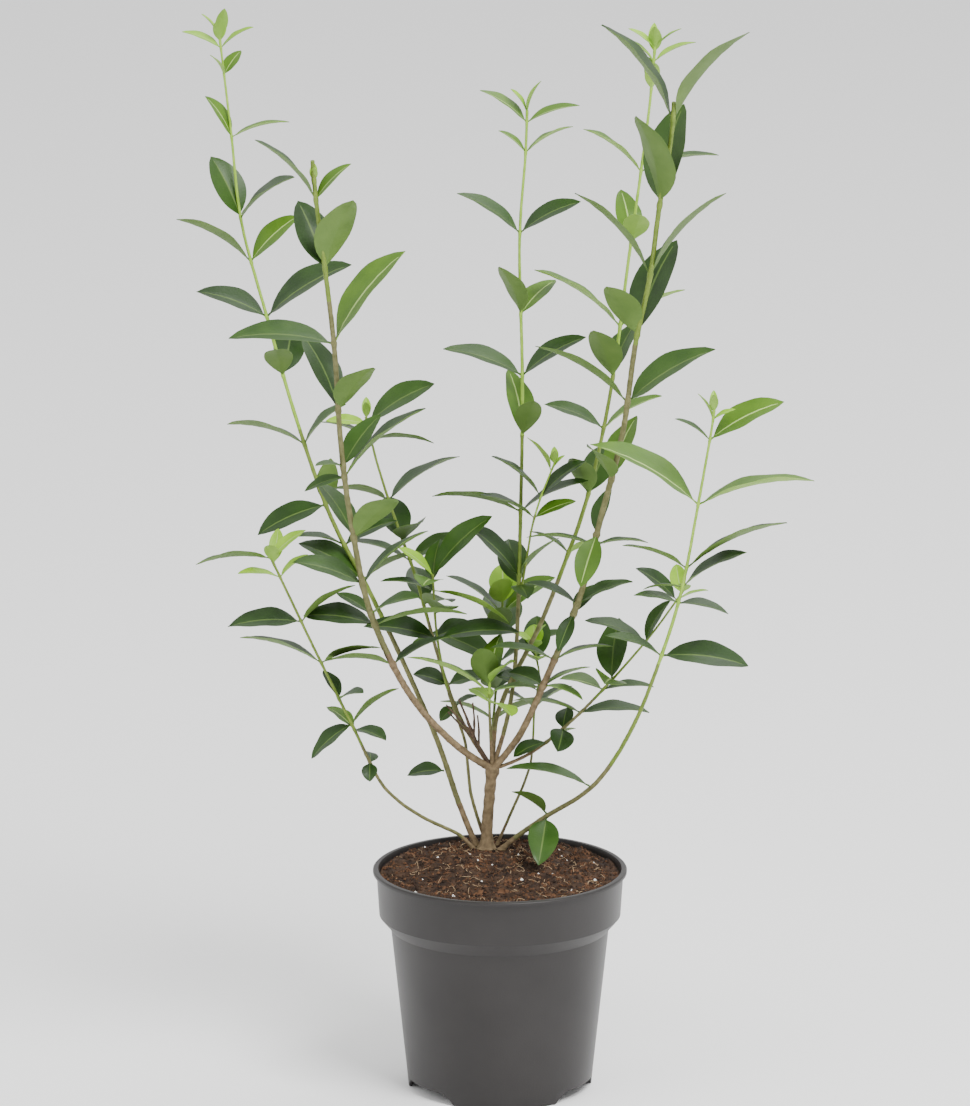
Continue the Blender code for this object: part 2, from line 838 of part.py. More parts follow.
def make_bough(shoot, crown):
    """The bare lower stretch of a shoot."""
    line = shoot_line(shoot)
    from_fork = shoot.foot is None
    start = STUB + GAP if from_fork else 0.0
    end = distance_at_height(line, shoot.bare)
    shape = limb_shape(line, shoot.girth, start, end, LIMB_SIDES, level_foot=not from_fork)
    crown.limbs.append(("bough_" + shoot.name, surface(shape)))
    bough = as_object("bough_" + shoot.name, shape)
    paint(bough, OLD_BARK if shoot.girth[0] > 4.5 else OLIVE_BARK, 0.75)


def stem_shape(shoot):
    """The leafy upper stretch of a shoot, without its leaves."""
    line = shoot_line(shoot)
    if len(shoot.foot or ()) == 3:
        start = 0.0
    else:
        start = distance_at_height(line, shoot.bare) + GAP
    return limb_shape(line, shoot.girth, start, distances(line)[-1], STEM_SIDES)


def set_leaves(shoot, owner, crown, rng):
    """Sets the pairs of leaves of a shoot, and gives their shapes."""
    line = shoot_line(shoot)
    total = distances(line)[-1]
    shapes = []
    for height, bearing, rise, length, other_rise, other_length in shoot.leafing:
        distance = distance_at_height(line, height)
        root, _ = point_at(line, distance)
        root_size = LEAF_ROOT * radius_along(shoot.girth, distance / total)
        pair = ((bearing, rise, length), (bearing + 180, other_rise, other_length))
        for leaf_bearing, leaf_rise, leaf_length in pair:
            roll = rng.uniform(-LEAF_ROLL, LEAF_ROLL)
            draw = rng.uniform(0.88, 1.12)
            width = leaf_width(leaf_length, height, draw)
            shape = crown.settle(
                owner, root, leaf_bearing, leaf_rise, leaf_length, width, root_size, roll
            )
            if shape is None:
                print("left out a leaf of", shoot.name, "at", height)
            else:
                shapes.append(shape)
    return shapes


def make_foliage(shoot, crown, rng):
    """One mass: the leafy stem of a shoot with its leaves fused on."""
    owner = "foliage_" + shoot.name
    mass = as_object(owner, stem_shape(shoot))
    shapes = set_leaves(shoot, owner, crown, rng)
    if shoot.name == SIDE_SHOOT_OWNER:
        shapes.append(stem_shape(SIDE_SHOOT))
        shapes += set_leaves(SIDE_SHOOT, owner, crown, rng)
    combine(mass, [as_object("leaf", shape) for shape in shapes], "UNION")
    drop_scraps(mass)
    fresh = shoot.route[-1][2] > 640
    paint(mass, LEAF_FRESH if fresh else LEAF_DARK, 0.5)


def dead_twig_shapes(rng):
    """The dead stem with its fan of bare twigs."""
    line = dead_line()
    total = distances(line)[-1]
    stem = limb_shape(line, DEAD_GIRTH, STUB + GAP, total, STEM_SIDES)
    twigs = []
    for index in range(DEAD_TWIG_COUNT):
        share = index / (DEAD_TWIG_COUNT - 1)
        root, _ = point_at(line, STUB + 4.0 + (total - STUB - 5.0) * share)
        bearing = 195.0 + rng.uniform(-30.0, 30.0)
        rise = 88.0 - DEAD_TWIG_SPREAD * ((index * 2) % DEAD_TWIG_COUNT) / DEAD_TWIG_COUNT
        length = rng.uniform(*DEAD_TWIG_LENGTH)
        tip = root + direction(bearing, rise) * length
        middle = root.lerp(tip, 0.55) + Vector((0.8, -0.6, -1.0))
        radii = [DEAD_TWIG_GIRTH[0] / 2, DEAD_TWIG_GIRTH[0] / 2 * 0.85, DEAD_TWIG_GIRTH[1] / 2]
        twigs.append(tube([root, middle, tip], radii, TWIG_SIDES))
    return stem, twigs


def make_dead_twigs(shapes):
    """The dead twigs as one mass of bare twigs."""
    stem, twigs = shapes
    mass = as_object("twigs_dead", stem)
    combine(mass, [as_object("twig", twig) for twig in twigs], "UNION")
    drop_scraps(mass)
    paint(mass, DEAD_WOOD, 0.9)


def make_sprig(index, sprig, crown, rng):
    """A single leaf on bare wood, clear of the limb that bears it."""
    shoot = next(item for item in SHOOTS if item.name == sprig.limb)
    line = shoot_line(shoot)
    distance = distance_at_height(line, sprig.height)
    axis, _ = point_at(line, distance)
    radius = radius_along(shoot.girth, distance / distances(line)[-1])
    root = axis + direction(sprig.bearing, sprig.rise) * (radius + 2.0 * GAP)
    width = leaf_width(sprig.length, sprig.height, 1.0)
    roll = rng.uniform(-LEAF_ROLL, LEAF_ROLL)
    shape = crown.settle(
        "", root, sprig.bearing, sprig.rise, sprig.length, width, LEAF_ROOT, roll
    )
    if shape is None:
        print("left out the sprig on", sprig.limb, "at", sprig.height)
        return
    leaf = as_object(f"sprig_{sprig.limb}_{index}", shape)
    paint(leaf, LEAF_FRESH, 0.5)


def main():
    clear_scene()
    make_pot()
    make_soil()
    make_trunk()
    rng = random.Random(SEED)
    crown = Crown()
    crown.limbs.append(("trunk", surface(trunk_shape())))
    for shoot in SHOOTS:
        make_bough(shoot, crown)
        crown.limbs.append(("foliage_" + shoot.name, surface(stem_shape(shoot))))
    crown.limbs.append(("foliage_" + SIDE_SHOOT_OWNER, surface(stem_shape(SIDE_SHOOT))))
    dead = dead_twig_shapes(rng)
    crown.limbs += [("twigs_dead", surface(shape)) for shape in (dead[0], *dead[1])]
    make_dead_twigs(dead)
    for index, sprig in enumerate(SPRIGS):
        make_sprig(index, sprig, crown, rng)
    for shoot in SHOOTS:
        make_foliage(shoot, crown, rng)


main()
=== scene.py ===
# %% [markdown]
# The real object is a young privet in a round plastic nursery pot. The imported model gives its
# true sizes, so it is loaded first, and everything below is built in the same frame. The
# loaded pieces come selected, and an operator acts on all that is selected, so they are
# deselected at once.

# %% Load the frame
import math
import random
from collections import namedtuple

import bmesh
import bpy
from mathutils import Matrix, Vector, noise
from mathutils.bvhtree import BVHTree


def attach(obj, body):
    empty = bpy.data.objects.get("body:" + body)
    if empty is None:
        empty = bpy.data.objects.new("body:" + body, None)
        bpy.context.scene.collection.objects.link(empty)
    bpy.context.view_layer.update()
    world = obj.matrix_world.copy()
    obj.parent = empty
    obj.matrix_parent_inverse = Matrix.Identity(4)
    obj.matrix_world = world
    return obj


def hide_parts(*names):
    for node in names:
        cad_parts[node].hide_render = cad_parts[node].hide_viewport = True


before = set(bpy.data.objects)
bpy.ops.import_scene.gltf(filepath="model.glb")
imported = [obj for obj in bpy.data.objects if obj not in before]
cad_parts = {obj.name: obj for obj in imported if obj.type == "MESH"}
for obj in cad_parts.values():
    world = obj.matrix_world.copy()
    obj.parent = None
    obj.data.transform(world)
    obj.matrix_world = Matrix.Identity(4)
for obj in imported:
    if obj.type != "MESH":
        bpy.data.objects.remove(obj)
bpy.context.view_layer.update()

bpy.ops.object.select_all(action="DESELECT")

# %% [markdown]
# Sizes are in millimetres and degrees, and become metres when a mesh is made. A bearing is 0 to
# the right, 90 to the back, 180 to the left and 270 to the front, and a rise is the angle above
# level. A plant's leaves are easier to describe so than by three coordinates each.

# %% Millimetres and directions
MM = 0.001
GAP = 0.3
SEED = 41


def direction(bearing, rise):
    """The unit vector at a bearing and a rise."""
    flat = math.cos(math.radians(rise))
    turn = math.radians(bearing)
    return Vector((flat * math.cos(turn), flat * math.sin(turn), math.sin(math.radians(rise))))


print("right", direction(0, 0), "up", direction(0, 90))

# %% [markdown]
# A product photograph of a plant is taken from far away, a little from above, so it has almost
# no perspective. A long lens on a distant camera gives the same. Its length follows from how
# many metres a pixel covers where the shrub stands.

# %% Camera
LOOK_AT = Vector((-0.010, 0.0, 0.3675))
CAMERA_RISE = 14.5
CAMERA_DISTANCE = 8.0
SENSOR_WIDTH = 36.0
IMAGE_HEIGHT = 1106
METRES_PER_PIXEL = 0.6644e-3


def aim(item, bearing, rise, distance):
    """Stands a camera or a lamp off from the shrub and turns it to face it."""
    bpy.context.scene.collection.objects.link(item)
    item.location = LOOK_AT + direction(bearing, rise) * distance
    item.rotation_euler = (LOOK_AT - item.location).to_track_quat("-Z", "Y").to_euler()


camera_data = bpy.data.cameras.new("camera")
camera_data.sensor_width = SENSOR_WIDTH
camera_data.lens = SENSOR_WIDTH * CAMERA_DISTANCE / (IMAGE_HEIGHT * METRES_PER_PIXEL)
camera = bpy.data.objects.new("camera", camera_data)
aim(camera, 270, CAMERA_RISE, CAMERA_DISTANCE)
bpy.context.scene.camera = camera
print("lens", round(camera_data.lens, 1))

# %% [markdown]
# The photograph has a bare white ground.

# %% Floor
FLOOR_SIZE = 40.0
FLOOR_DROP = 0.0005
FLOOR_WHITE = 0.97
bpy.ops.mesh.primitive_plane_add(size=FLOOR_SIZE, location=(0.0, 0.0, -FLOOR_DROP))
floor = bpy.context.object
floor.name = "floor"
floor_finish = bpy.data.materials.new("floor_finish")
floor_finish.use_nodes = True
floor_inputs = floor_finish.node_tree.nodes["Principled BSDF"].inputs
floor_inputs["Base Color"].default_value = (FLOOR_WHITE, FLOOR_WHITE, FLOOR_WHITE, 1)
floor_inputs["Roughness"].default_value = 0.9
floor.data.materials.append(floor_finish)
print("floor", FLOOR_SIZE, "m wide")

# %% [markdown]
# Leaves look fresh in even light. A white world lights them from all sides, and three large
# soft lamps give the gloss and a little shape: a key from the front, a fill from the left, and
# a rim lamp from behind.

# %% Light
WORLD_STRENGTH = 1.1
world = bpy.data.worlds.new("studio")
world.use_nodes = True
sky = world.node_tree.nodes["Background"].inputs
sky["Color"].default_value = (1.0, 1.0, 1.0, 1.0)
sky["Strength"].default_value = WORLD_STRENGTH
bpy.context.scene.world = world


def softbox(name, bearing, rise, distance, size, power):
    """A large square lamp that faces the shrub."""
    data = bpy.data.lights.new(name, "AREA")
    data.size = size
    data.energy = power
    aim(bpy.data.objects.new(name, data), bearing, rise, distance)


softbox("key", 305, 50, 2.6, 1.2, 95.0)
softbox("fill", 215, 25, 3.0, 1.8, 20.0)
softbox("rim", 60, 50, 3.0, 1.6, 26.0)
bpy.ops.object.select_all(action="DESELECT")
print("lamps", len(bpy.data.lights))

# %% [markdown]
# Living surfaces are never one flat tone. A noise on the object's own coordinates mixes two
# near tones, and a finer noise gives a slight relief. Both are computed and not painted, so
# they suit any leaf or limb, and they stay in place when the view changes.

# %% A procedural finish
SHEEN = 0.3
RELIEF_DEPTH = 0.0004
TONE_STOPS = (0.35, 0.65)


def finish(name, low, high, scale, roughness, bump=0.0, bump_scale=0.0):
    """Two tones mixed by noise, with a fine relief where bump is given."""
    material = bpy.data.materials.new(name)
    material.use_nodes = True
    nodes, links = material.node_tree.nodes, material.node_tree.links
    shader = nodes["Principled BSDF"]
    shader.inputs["Roughness"].default_value = roughness
    shader.inputs["Specular IOR Level"].default_value = SHEEN
    place = nodes.new("ShaderNodeTexCoord")
    pattern = nodes.new("ShaderNodeTexNoise")
    pattern.inputs["Scale"].default_value = scale
    pattern.inputs["Detail"].default_value = 4.0
    links.new(place.outputs["Object"], pattern.inputs["Vector"])
    tones = nodes.new("ShaderNodeValToRGB")
    for stop, position, colour in zip(tones.color_ramp.elements, TONE_STOPS, (low, high)):
        stop.position = position
        stop.color = (*colour, 1.0)
    links.new(pattern.outputs["Fac"], tones.inputs["Fac"])
    links.new(tones.outputs["Color"], shader.inputs["Base Color"])
    if bump:
        grain = nodes.new("ShaderNodeTexNoise")
        grain.inputs["Scale"].default_value = bump_scale
        grain.inputs["Detail"].default_value = 3.0
        links.new(place.outputs["Object"], grain.inputs["Vector"])
        relief = nodes.new("ShaderNodeBump")
        relief.inputs["Strength"].default_value = bump
        relief.inputs["Distance"].default_value = RELIEF_DEPTH
        links.new(grain.outputs["Fac"], relief.inputs["Height"])
        links.new(relief.outputs["Normal"], shader.inputs["Normal"])
    return material


print("finish takes a name, two tones, the noise's scale, a roughness and a relief")

# %% [markdown]
# Old privet leaves are dark green and slightly glossy above, paler and matt below, with a pale
# midrib. Leaves at a growing tip are lime green. One leaf therefore wears several finishes, and
# a face of the mesh is given one by its number in this list.

# %% Leaf finishes
DARK, DEEP, FRESH, LIME, UNDER, UNDER_YOUNG, RIB, RIB_YOUNG = range(8)
LEAF_FINISHES = [
    finish("leaf_dark", (0.012, 0.036, 0.004), (0.020, 0.055, 0.006), 60, 0.40, 0.35, 700),
    finish("leaf_deep", (0.021, 0.060, 0.005), (0.033, 0.082, 0.008), 60, 0.42, 0.35, 700),
    finish("leaf_fresh", (0.060, 0.140, 0.008), (0.085, 0.180, 0.012), 60, 0.42, 0.30, 700),
    finish("leaf_lime", (0.200, 0.400, 0.012), (0.290, 0.520, 0.025), 60, 0.45, 0.25, 700),
    finish("leaf_under", (0.075, 0.140, 0.022), (0.100, 0.175, 0.032), 60, 0.60, 0.25, 700),
    finish("under_young", (0.180, 0.330, 0.040), (0.240, 0.400, 0.060), 60, 0.60, 0.25, 700),
    finish("midrib", (0.070, 0.125, 0.022), (0.090, 0.150, 0.030), 60, 0.50),
    finish("midrib_young", (0.330, 0.480, 0.130), (0.380, 0.540, 0.160), 60, 0.50),
]
print("leaf finishes", len(LEAF_FINISHES))

# %% [markdown]
# A stem is brown and fibrous at its foot, olive above, then green, and lime at its tip. The
# spent twigs at the fork are dark and dry.

# %% Bark finishes
BROWN_BARK, DEAD_WOOD = 0, 4
BARK_FINISHES = [
    finish("bark_brown", (0.120, 0.085, 0.045), (0.230, 0.165, 0.090), 260, 0.85, 0.8, 1400),
    finish("bark_olive", (0.110, 0.110, 0.040), (0.180, 0.170, 0.070), 260, 0.75, 0.5, 1400),
    finish("stem_green", (0.115, 0.175, 0.022), (0.170, 0.240, 0.035), 160, 0.60, 0.3, 1200),
    finish("stem_lime", (0.220, 0.390, 0.030), (0.300, 0.480, 0.050), 160, 0.55, 0.2, 1200),
    finish("dead_wood", (0.045, 0.028, 0.018), (0.110, 0.070, 0.045), 300, 0.9, 0.8, 1400),
]
print("bark finishes", len(BARK_FINISHES))

# %% [markdown]
# The pot is satin dark grey plastic with hardly any grain. Peat is dark and matt, with redder
# patches, tan fibres and a few white grains in it.

# %% Pot and soil finishes
POT_FINISH = finish(
    "pot_plastic", (0.0200, 0.0180, 0.0176), (0.0250, 0.0226, 0.0222), 18, 0.40, 0.12, 900)
PEAT, PEAT_RED, FIBRE, PERLITE = range(4)
SOIL_FINISHES = [
    finish("peat", (0.016, 0.009, 0.006), (0.062, 0.034, 0.020), 160, 0.95, 1.0, 900),
    finish("peat_red", (0.060, 0.026, 0.012), (0.130, 0.062, 0.030), 220, 0.95, 0.9, 900),
    finish("fibre", (0.260, 0.170, 0.095), (0.400, 0.290, 0.180), 200, 0.9),
    finish("perlite", (0.700, 0.680, 0.640), (0.860, 0.850, 0.820), 200, 0.9),
]
print("soil finishes", len(SOIL_FINISHES))

# %% [markdown]
# Each shoot of the shrub is a row of named sizes: the route of its stem, its thickness, the
# height below which it is bare, and the pairs of opposite leaves along it. Privet sets its
# leaves in pairs, so a pair is one short row and not two leaves placed by hand.

# %% The shoots
# A shoot runs from the fork, or from a foot on the soil, along its route to its tip. It is
# bare up to a height. A leafing row is a node of the stem: its height, then the bearing, rise
# and length of one leaf, and the rise and length of its partner on the other side.
Shoot = namedtuple("Shoot", "name foot route girth bare leafing")

SHOOTS = (
    Shoot(
        "left",
        None,
        ((-28, 28, 226), (-60, 10, 267), (-86, -18, 331), (-98, -42, 397), (-105, -62, 459),
         (-109, -82, 532), (-120, -104, 632), (-122, -110, 659)),
        (5.0, 2.9),
        284,
        ((291, 200, 8, 48, 20, 45),
         (322, 355, 8, 62, 6, 48),
         (330, 325, 24, 43, 20, 30),
         (353, 10, 38, 56, 20, 50),
         (388, 315, 39, 53, 42, 48),
         (433, 0, 41, 71, -20, 28),
         (441, 40, 43, 44, 10, 24),
         (482, 310, 44, 51, 50, 58),
         (530, 0, 53, 78, 3, 69),
         (583, 312, 61, 58, 57, 49),
         (632, 180, 45, 56, 46, 33),
         (645, 90, 60, 12, 60, 12)),
    ),
    Shoot(
        "right",
        None,
        ((13, 30, 233), (32, 18, 279), (53, 4, 336), (67, -10, 395), (81, -25, 456),
         (89, -42, 521), (98, -54, 567), (104, -68, 619), (111, -80, 665), (113, -88, 693)),
        (4.8, 3.0),
        264,
        ((271, 340, -15, 29, 15, 26),
         (290, 5, 12, 40, 12, 44),
         (324, 230, -55, 28, 30, 30),
         (331, 190, 25, 38, 20, 40),
         (374, 180, 7, 45, 3, 36),
         (382, 240, -55, 38, 55, 34),
         (422, 240, 42, 44, 46, 50),
         (478, 180, 32, 72, 32, 68),
         (527, 230, 50, 50, 54, 70),
         (570, 180, 48, 74, 48, 74),
         (620, 238, 65, 72, 64, 69),
         (680, 180, 54, 79, 50, 77)),
    ),
    Shoot(
        "right_rear",
        None,
        ((-3, 56, 238), (5, 64, 257), (27, 72, 299), (46, 76, 348), (59, 78, 387),
         (74, 80, 458), (86, 82, 550), (93, 85, 601), (100, 88, 656), (103, 90, 692)),
        (3.6, 1.7),
        335,
        ((348, 150, 20, 32, 20, 30),
         (388, 245, 50, 40, 40, 42),
         (433, 180, 23, 43, 30, 45),
         (468, 240, 55, 46, 45, 44),
         (503, 180, 34, 69, 30, 50),
         (560, 285, 45, 34, 50, 40),
         (608, 180, 37, 48, 12, 53),
         (663, 280, 60, 24, 55, 24),
         (682, 180, 39, 26, 25, 31),
         (688, 90, 72, 20, 72, 20),
         (691, 0, 55, 22, 55, 22)),
    ),
    Shoot(
        "middle",
        None,
        ((5, 42, 242), (11, 52, 287), (14, 64, 388), (15, 73, 469), (13, 84, 560),
         (17, 90, 617), (18, 93, 648)),
        (3.2, 1.7),
        322,
        ((330, 100, 30, 45, 0, 35),
         (336, 180, 44, 54, 45, 38),
         (380, 180, 10, 60, 25, 50),
         (431, 290, 50, 38, 55, 48),
         (471, 180, 19, 56, 32, 50),
         (512, 230, 58, 43, 25, 40),
         (566, 180, 33, 50, 28, 46),
         (620, 10, 27, 36, 40, 24),
         (640, 180, 35, 38, 18, 37),
         (647, 0, 66, 23, 55, 19)),
    ),
    Shoot(
        "left_rear",
        None,
        ((-27, 55, 239), (-42, 68, 280), (-56, 82, 328), (-71, 92, 369), (-83, 99, 406),
         (-90, 104, 435)),
        (3.2, 1.5),
        240,
        ((246, 200, -40, 14, 20, 18),
         (260, 180, 18, 24, 10, 27),
         (290, 180, -30, 18, 15, 30),
         (312, 100, 25, 40, 15, 42),
         (340, 10, 25, 40, 20, 45),
         (353, 110, 35, 40, 30, 45),
         (380, 25, 25, 58, 15, 46),
         (420, 170, 17, 36, -1, 43),
         (430, 0, 32, 53, 5, 28),
         (434, 90, 60, 15, 60, 15)),
    ),
    Shoot(
        "right_twig",
        None,
        ((20, 36, 219), (54, 28, 250), (97, 16, 302), (122, 6, 340)),
        (2.6, 1.3),
        223,
        ((228, 200, -10, 25, 20, 22),
         (238, 260, -25, 24, 30, 20),
         (250, 180, 8, 46, 0, 46),
         (267, 0, 3, 34, 5, 30),
         (274, 80, 50, 46, 10, 30),
         (302, 180, 20, 43, 60, 33),
         (333, 180, 39, 35, 18, 22),
         (338, 100, 40, 24, 30, 22)),
    ),
    Shoot(
        "heart",
        None,
        ((-6, 33, 230), (-7, 29, 250), (-7, 27, 272)),
        (3.0, 1.4),
        250,
        ((257, 300, -5, 30, 10, 24),
         (264, 180, 24, 60, 5, 34),
         (268, 250, 60, 36, 55, 38),
         (271, 150, 60, 26, 60, 26)),
    ),
    Shoot(
        "far_left",
        (-16, 47),
        ((-28, 50, 182), (-42, 56, 223), (-64, 62, 274), (-90, 70, 328), (-114, 76, 374),
         (-138, 84, 444), (-157, 92, 511), (-173, 99, 571), (-179, 105, 626), (-187, 110, 695)),
        (4.2, 1.4),
        322,
        ((331, 180, 30, 50, 25, 45),
         (354, 200, 15, 34, 20, 40),
         (381, 190, -22, 50, 55, 32),
         (422, 160, 9, 56, 45, 42),
         (468, 80, 40, 42, 40, 38),
         (507, 175, 19, 50, 33, 68),
         (544, 185, 31, 58, 44, 44),
         (573, 325, 37, 56, 58, 46),
         (627, 0, 15, 40, 58, 33),
         (669, 230, 48, 21, 38, 22),
         (687, 180, 23, 28, 33, 26),
         (691, 90, 65, 20, 65, 20),
         (694, 0, 62, 20, 62, 20)),
    ),
    Shoot(
        "low_left",
        (-18, 40),
        ((-27, 37, 163), (-50, 32, 175), (-77, 24, 198), (-96, 12, 240), (-119, -4, 293),
         (-132, -14, 324), (-152, -28, 372)),
        (2.6, 1.6),
        213,
        ((218, 270, -50, 14, 10, 16),
         (243, 150, 30, 25, -10, 25),
         (247, 180, -42, 36, 38, 40),
         (266, 140, 50, 22, 20, 23),
         (293, 170, 15, 57, 17, 42),
         (324, 180, -4, 49, 18, 45),
         (357, 20, 35, 24, 10, 30),
         (367, 80, 50, 26, 45, 24),
         (371, 180, -5, 50, 40, 30)),
    ),
    Shoot(
        "thin_left",
        (-9, 50),
        ((-20, 45, 190), (-23, 45, 225), (-34, 45, 257), (-42, 46, 296), (-45, 50, 340)),
        (2.6, 1.4),
        288,
        ((296, 0, 5, 55, 10, 50),
         (313, 100, 25, 50, 20, 48),
         (329, 180, 10, 36, -24, 55),
         (335, 80, 40, 35, 10, 40),
         (339, 0, 28, 57, 40, 30)),
    ),
    Shoot(
        "far_right",
        (1, 37),
        ((12, 33, 163), (30, 26, 178), (63, 8, 205), (88, -12, 250), (107, -34, 306),
         (120, -52, 356), (130, -72, 418), (139, -88, 477), (140, -92, 488)),
        (3.6, 1.6),
        298,
        ((306, 0, -7, 58, 20, 40),
         (346, 0, -13, 34, 10, 30),
         (358, 355, 30, 49, -5, 26),
         (372, 0, 25, 73, 20, 45),
         (419, 0, 12, 78, 30, 82),
         (466, 0, 28, 55, 32, 27),
         (481, 180, 60, 20, 25, 16),
         (486, 90, 65, 15, 65, 15)),
    ),
    Shoot(
        "thin_rear",
        (-2, 48),
        ((9, 56, 176), (21, 66, 204), (23, 76, 238), (27, 84, 262), (22, 90, 283)),
        (2.2, 1.2),
        232,
        ((240, 20, 25, 30, 30, 26),
         (251, 0, 25, 39, 20, 30),
         (270, 90, 35, 40, 20, 25),
         (278, 90, 40, 20, 40, 14),
         (281, 180, 30, 16, 40, 16)),
    ),
    Shoot(
        "back",
        (-6, 58),
        ((-7, 68, 185), (-4, 92, 232), (0, 118, 272), (2, 132, 300)),
        (2.6, 1.3),
        220,
        ((228, 0, 20, 40, 20, 38),
         (246, 90, 10, 44, 30, 30),
         (262, 0, 25, 52, 25, 50),
         (278, 90, 20, 54, 50, 34),
         (292, 0, 35, 44, 35, 46),
         (298, 90, 50, 30, 60, 24)),
    ),
)
print("shoots", len(SHOOTS))

# %% [markdown]
# A few things don't fit in a shoot's row: a young side shoot on the middle stem, single leaves
# on wood that is bare otherwise, and a fan of dead twigs in the fork.

# %% Side shoot, single leaves and dead twigs
# A young shoot that leaves the middle stem and belongs to its foliage
SIDE_SHOOT_OWNER = "middle"
SIDE_SHOOT = Shoot(
    "side",
    (14, 57, 326),
    ((18, 55, 350), (21, 54, 370), (28, 52, 395), (37, 50, 418)),
    (1.8, 1.1),
    340,
    ((378, 190, 25, 41, 20, 30),
     (393, 180, 40, 43, 39, 39),
     (411, 180, 55, 28, 50, 14),
     (416, 90, 60, 12, 60, 12)),
)

# Single leaves on bare wood: the limb, then the height, bearing, rise and length
Sprig = namedtuple("Sprig", "limb height bearing rise length")
SPRIGS = (
    Sprig("far_left", 203, 180, -8, 25),
    Sprig("far_right", 204, 180, 12, 57),
    Sprig("far_right", 206, 10, 61, 48),
    Sprig("far_right", 180, 200, 35, 30),
    Sprig("far_right", 179, 262, -30, 44),
)

# Dead twigs that fan out of the fork to the left
DEAD_ROUTE = ((-13, 36, 222), (-20, 34, 236))
DEAD_GIRTH = (3.2, 2.0)
DEAD_TWIG_COUNT = 6
DEAD_TWIG_GIRTH = (1.7, 1.1)
DEAD_TWIG_LENGTH = (18.0, 34.0)
DEAD_TWIG_SPREAD = 60.0
print("single leaves", len(SPRIGS), "dead twigs", DEAD_TWIG_COUNT)

# %% [markdown]
# A stem bends softly. A curve through a few guide points gives such a line, with even steps,
# and these helpers find a place on it by distance or by height.

# %% Lines
RING_STEP = 17.0


def curve_through(guides):
    """Points a ring step apart on a smooth curve through the guide points."""
    guides = [Vector(place) for place in guides]
    before = guides[0] * 2 - guides[1]
    after = guides[-1] * 2 - guides[-2]
    knots = [before, *guides, after]
    points = []
    for a, b, c, d in zip(knots, knots[1:], knots[2:], knots[3:]):
        count = max(1, round((c - b).length / RING_STEP))
        for index in range(count):
            t = index / count
            points.append(
                0.5 * (2 * b + (c - a) * t + (2 * a - 5 * b + 4 * c - d) * t**2
                       + (3 * b - a - 3 * c + d) * t**3)
            )
    points.append(guides[-1])
    return points


def distances(points):
    """The distance along a line of points, for each point."""
    run = [0.0]
    for a, b in zip(points, points[1:]):
        run.append(run[-1] + (b - a).length)
    return run


def point_at(points, distance):
    """The place and direction at a distance along a line of points."""
    run = distances(points)
    distance = min(max(distance, 0.0), run[-1])
    for a, b, start, end in zip(points, points[1:], run, run[1:]):
        if distance <= end:
            return a.lerp(b, (distance - start) / (end - start)), (b - a).normalized()
    return points[-1], (points[-1] - points[-2]).normalized()


def distance_at_height(points, height):
    """How far along a line of points it first reaches a height."""
    run = distances(points)
    for a, b, start, end in zip(points, points[1:], run, run[1:]):
        if a.z <= height <= b.z:
            return start + (end - start) * (height - a.z) / (b.z - a.z)
    return run[-1]


def part_of(points, start, end):
    """The stretch of a line of points between two distances along it."""
    run = distances(points)
    inside = [p for p, d in zip(points, run) if start + 1.0 < d < end - 1.0]
    return [point_at(points, start)[0], *inside, point_at(points, end)[0]]


print("steps along a line", RING_STEP, "mm")

# %% [markdown]
# A limb is a closed tube of rings along its line. The rings carry one guide direction along
# the line, so that the tube doesn't twist. A limb that stands on the soil has a level foot.

# %% Tubes and tapers
def tube(points, radii, sides, level_foot=False):
    """The corners and faces of a closed round limb along a line of points."""
    corners = []
    guide = Vector((0.0, -1.0, 0.0))
    for index, place in enumerate(points):
        low = points[max(index - 1, 0)]
        high = points[min(index + 1, len(points) - 1)]
        along = (high - low).normalized()
        guide = (guide - along * guide.dot(along)).normalized()
        across = along.cross(guide)
        for side in range(sides):
            turn = math.tau * side / sides
            reach = (guide * math.cos(turn) + across * math.sin(turn)) * radii[index]
            corner = place + reach
            if index == 0 and level_foot:
                corner = corner - along * ((corner.z - place.z) / along.z)
            corners.append(corner)
    faces = [tuple(reversed(range(sides)))]
    for ring in range(len(points) - 1):
        for side in range(sides):
            after = (side + 1) % sides
            base = ring * sides
            faces.append((base + side, base + after, base + sides + after, base + sides + side))
    last = (len(points) - 1) * sides
    faces.append(tuple(last + side for side in range(sides)))
    return corners, faces


def radius_along(girth, share):
    """The radius of a limb that tapers from its foot to its tip."""
    return 0.5 * (girth[0] + (girth[1] - girth[0]) * share**0.8)


print("a limb 4 mm thick at its foot and 2 mm at its tip:", radius_along((4, 2), 0.5), "mm halfway")

# %% [markdown]
# The trunk rises from a flare on the mound of soil to the fork, where seven shoots leave it.
# The solids of the trunk and the shoots are drawn again here, plain and with few sides, because
# the leaves have to keep clear of them. They don't show.

# %% Plain limbs
MOUND_HEIGHT = 152.0
TRUNK_FOOT = (-9.0, 40.0)
TRUNK_ROUTE = ((-8.6, 40.0, 170.0), (-7.0, 39.0, 190.0))
FORK = (-5.0, 38.0, 208.0)
HEAD = (0.3, 0.0, 3.5)
TRUNK_RADIUS = 3.8
FLARE_RADIUS = 6.6
FLARE_HEIGHT = 9.0
FORK_SWELL = 1.25
STUB = 15.0
TRUNK_SIDES = 10
LIMB_SIDES = 6
STEM_SIDES = 5
TWIG_SIDES = 4


def shoot_line(shoot):
    """The line of points of a whole shoot, from the fork or from the soil."""
    if shoot.foot is None:
        start = FORK
    elif len(shoot.foot) == 2:
        start = (*shoot.foot, MOUND_HEIGHT + GAP)
    else:
        start = shoot.foot
    return curve_through((start, *shoot.route))


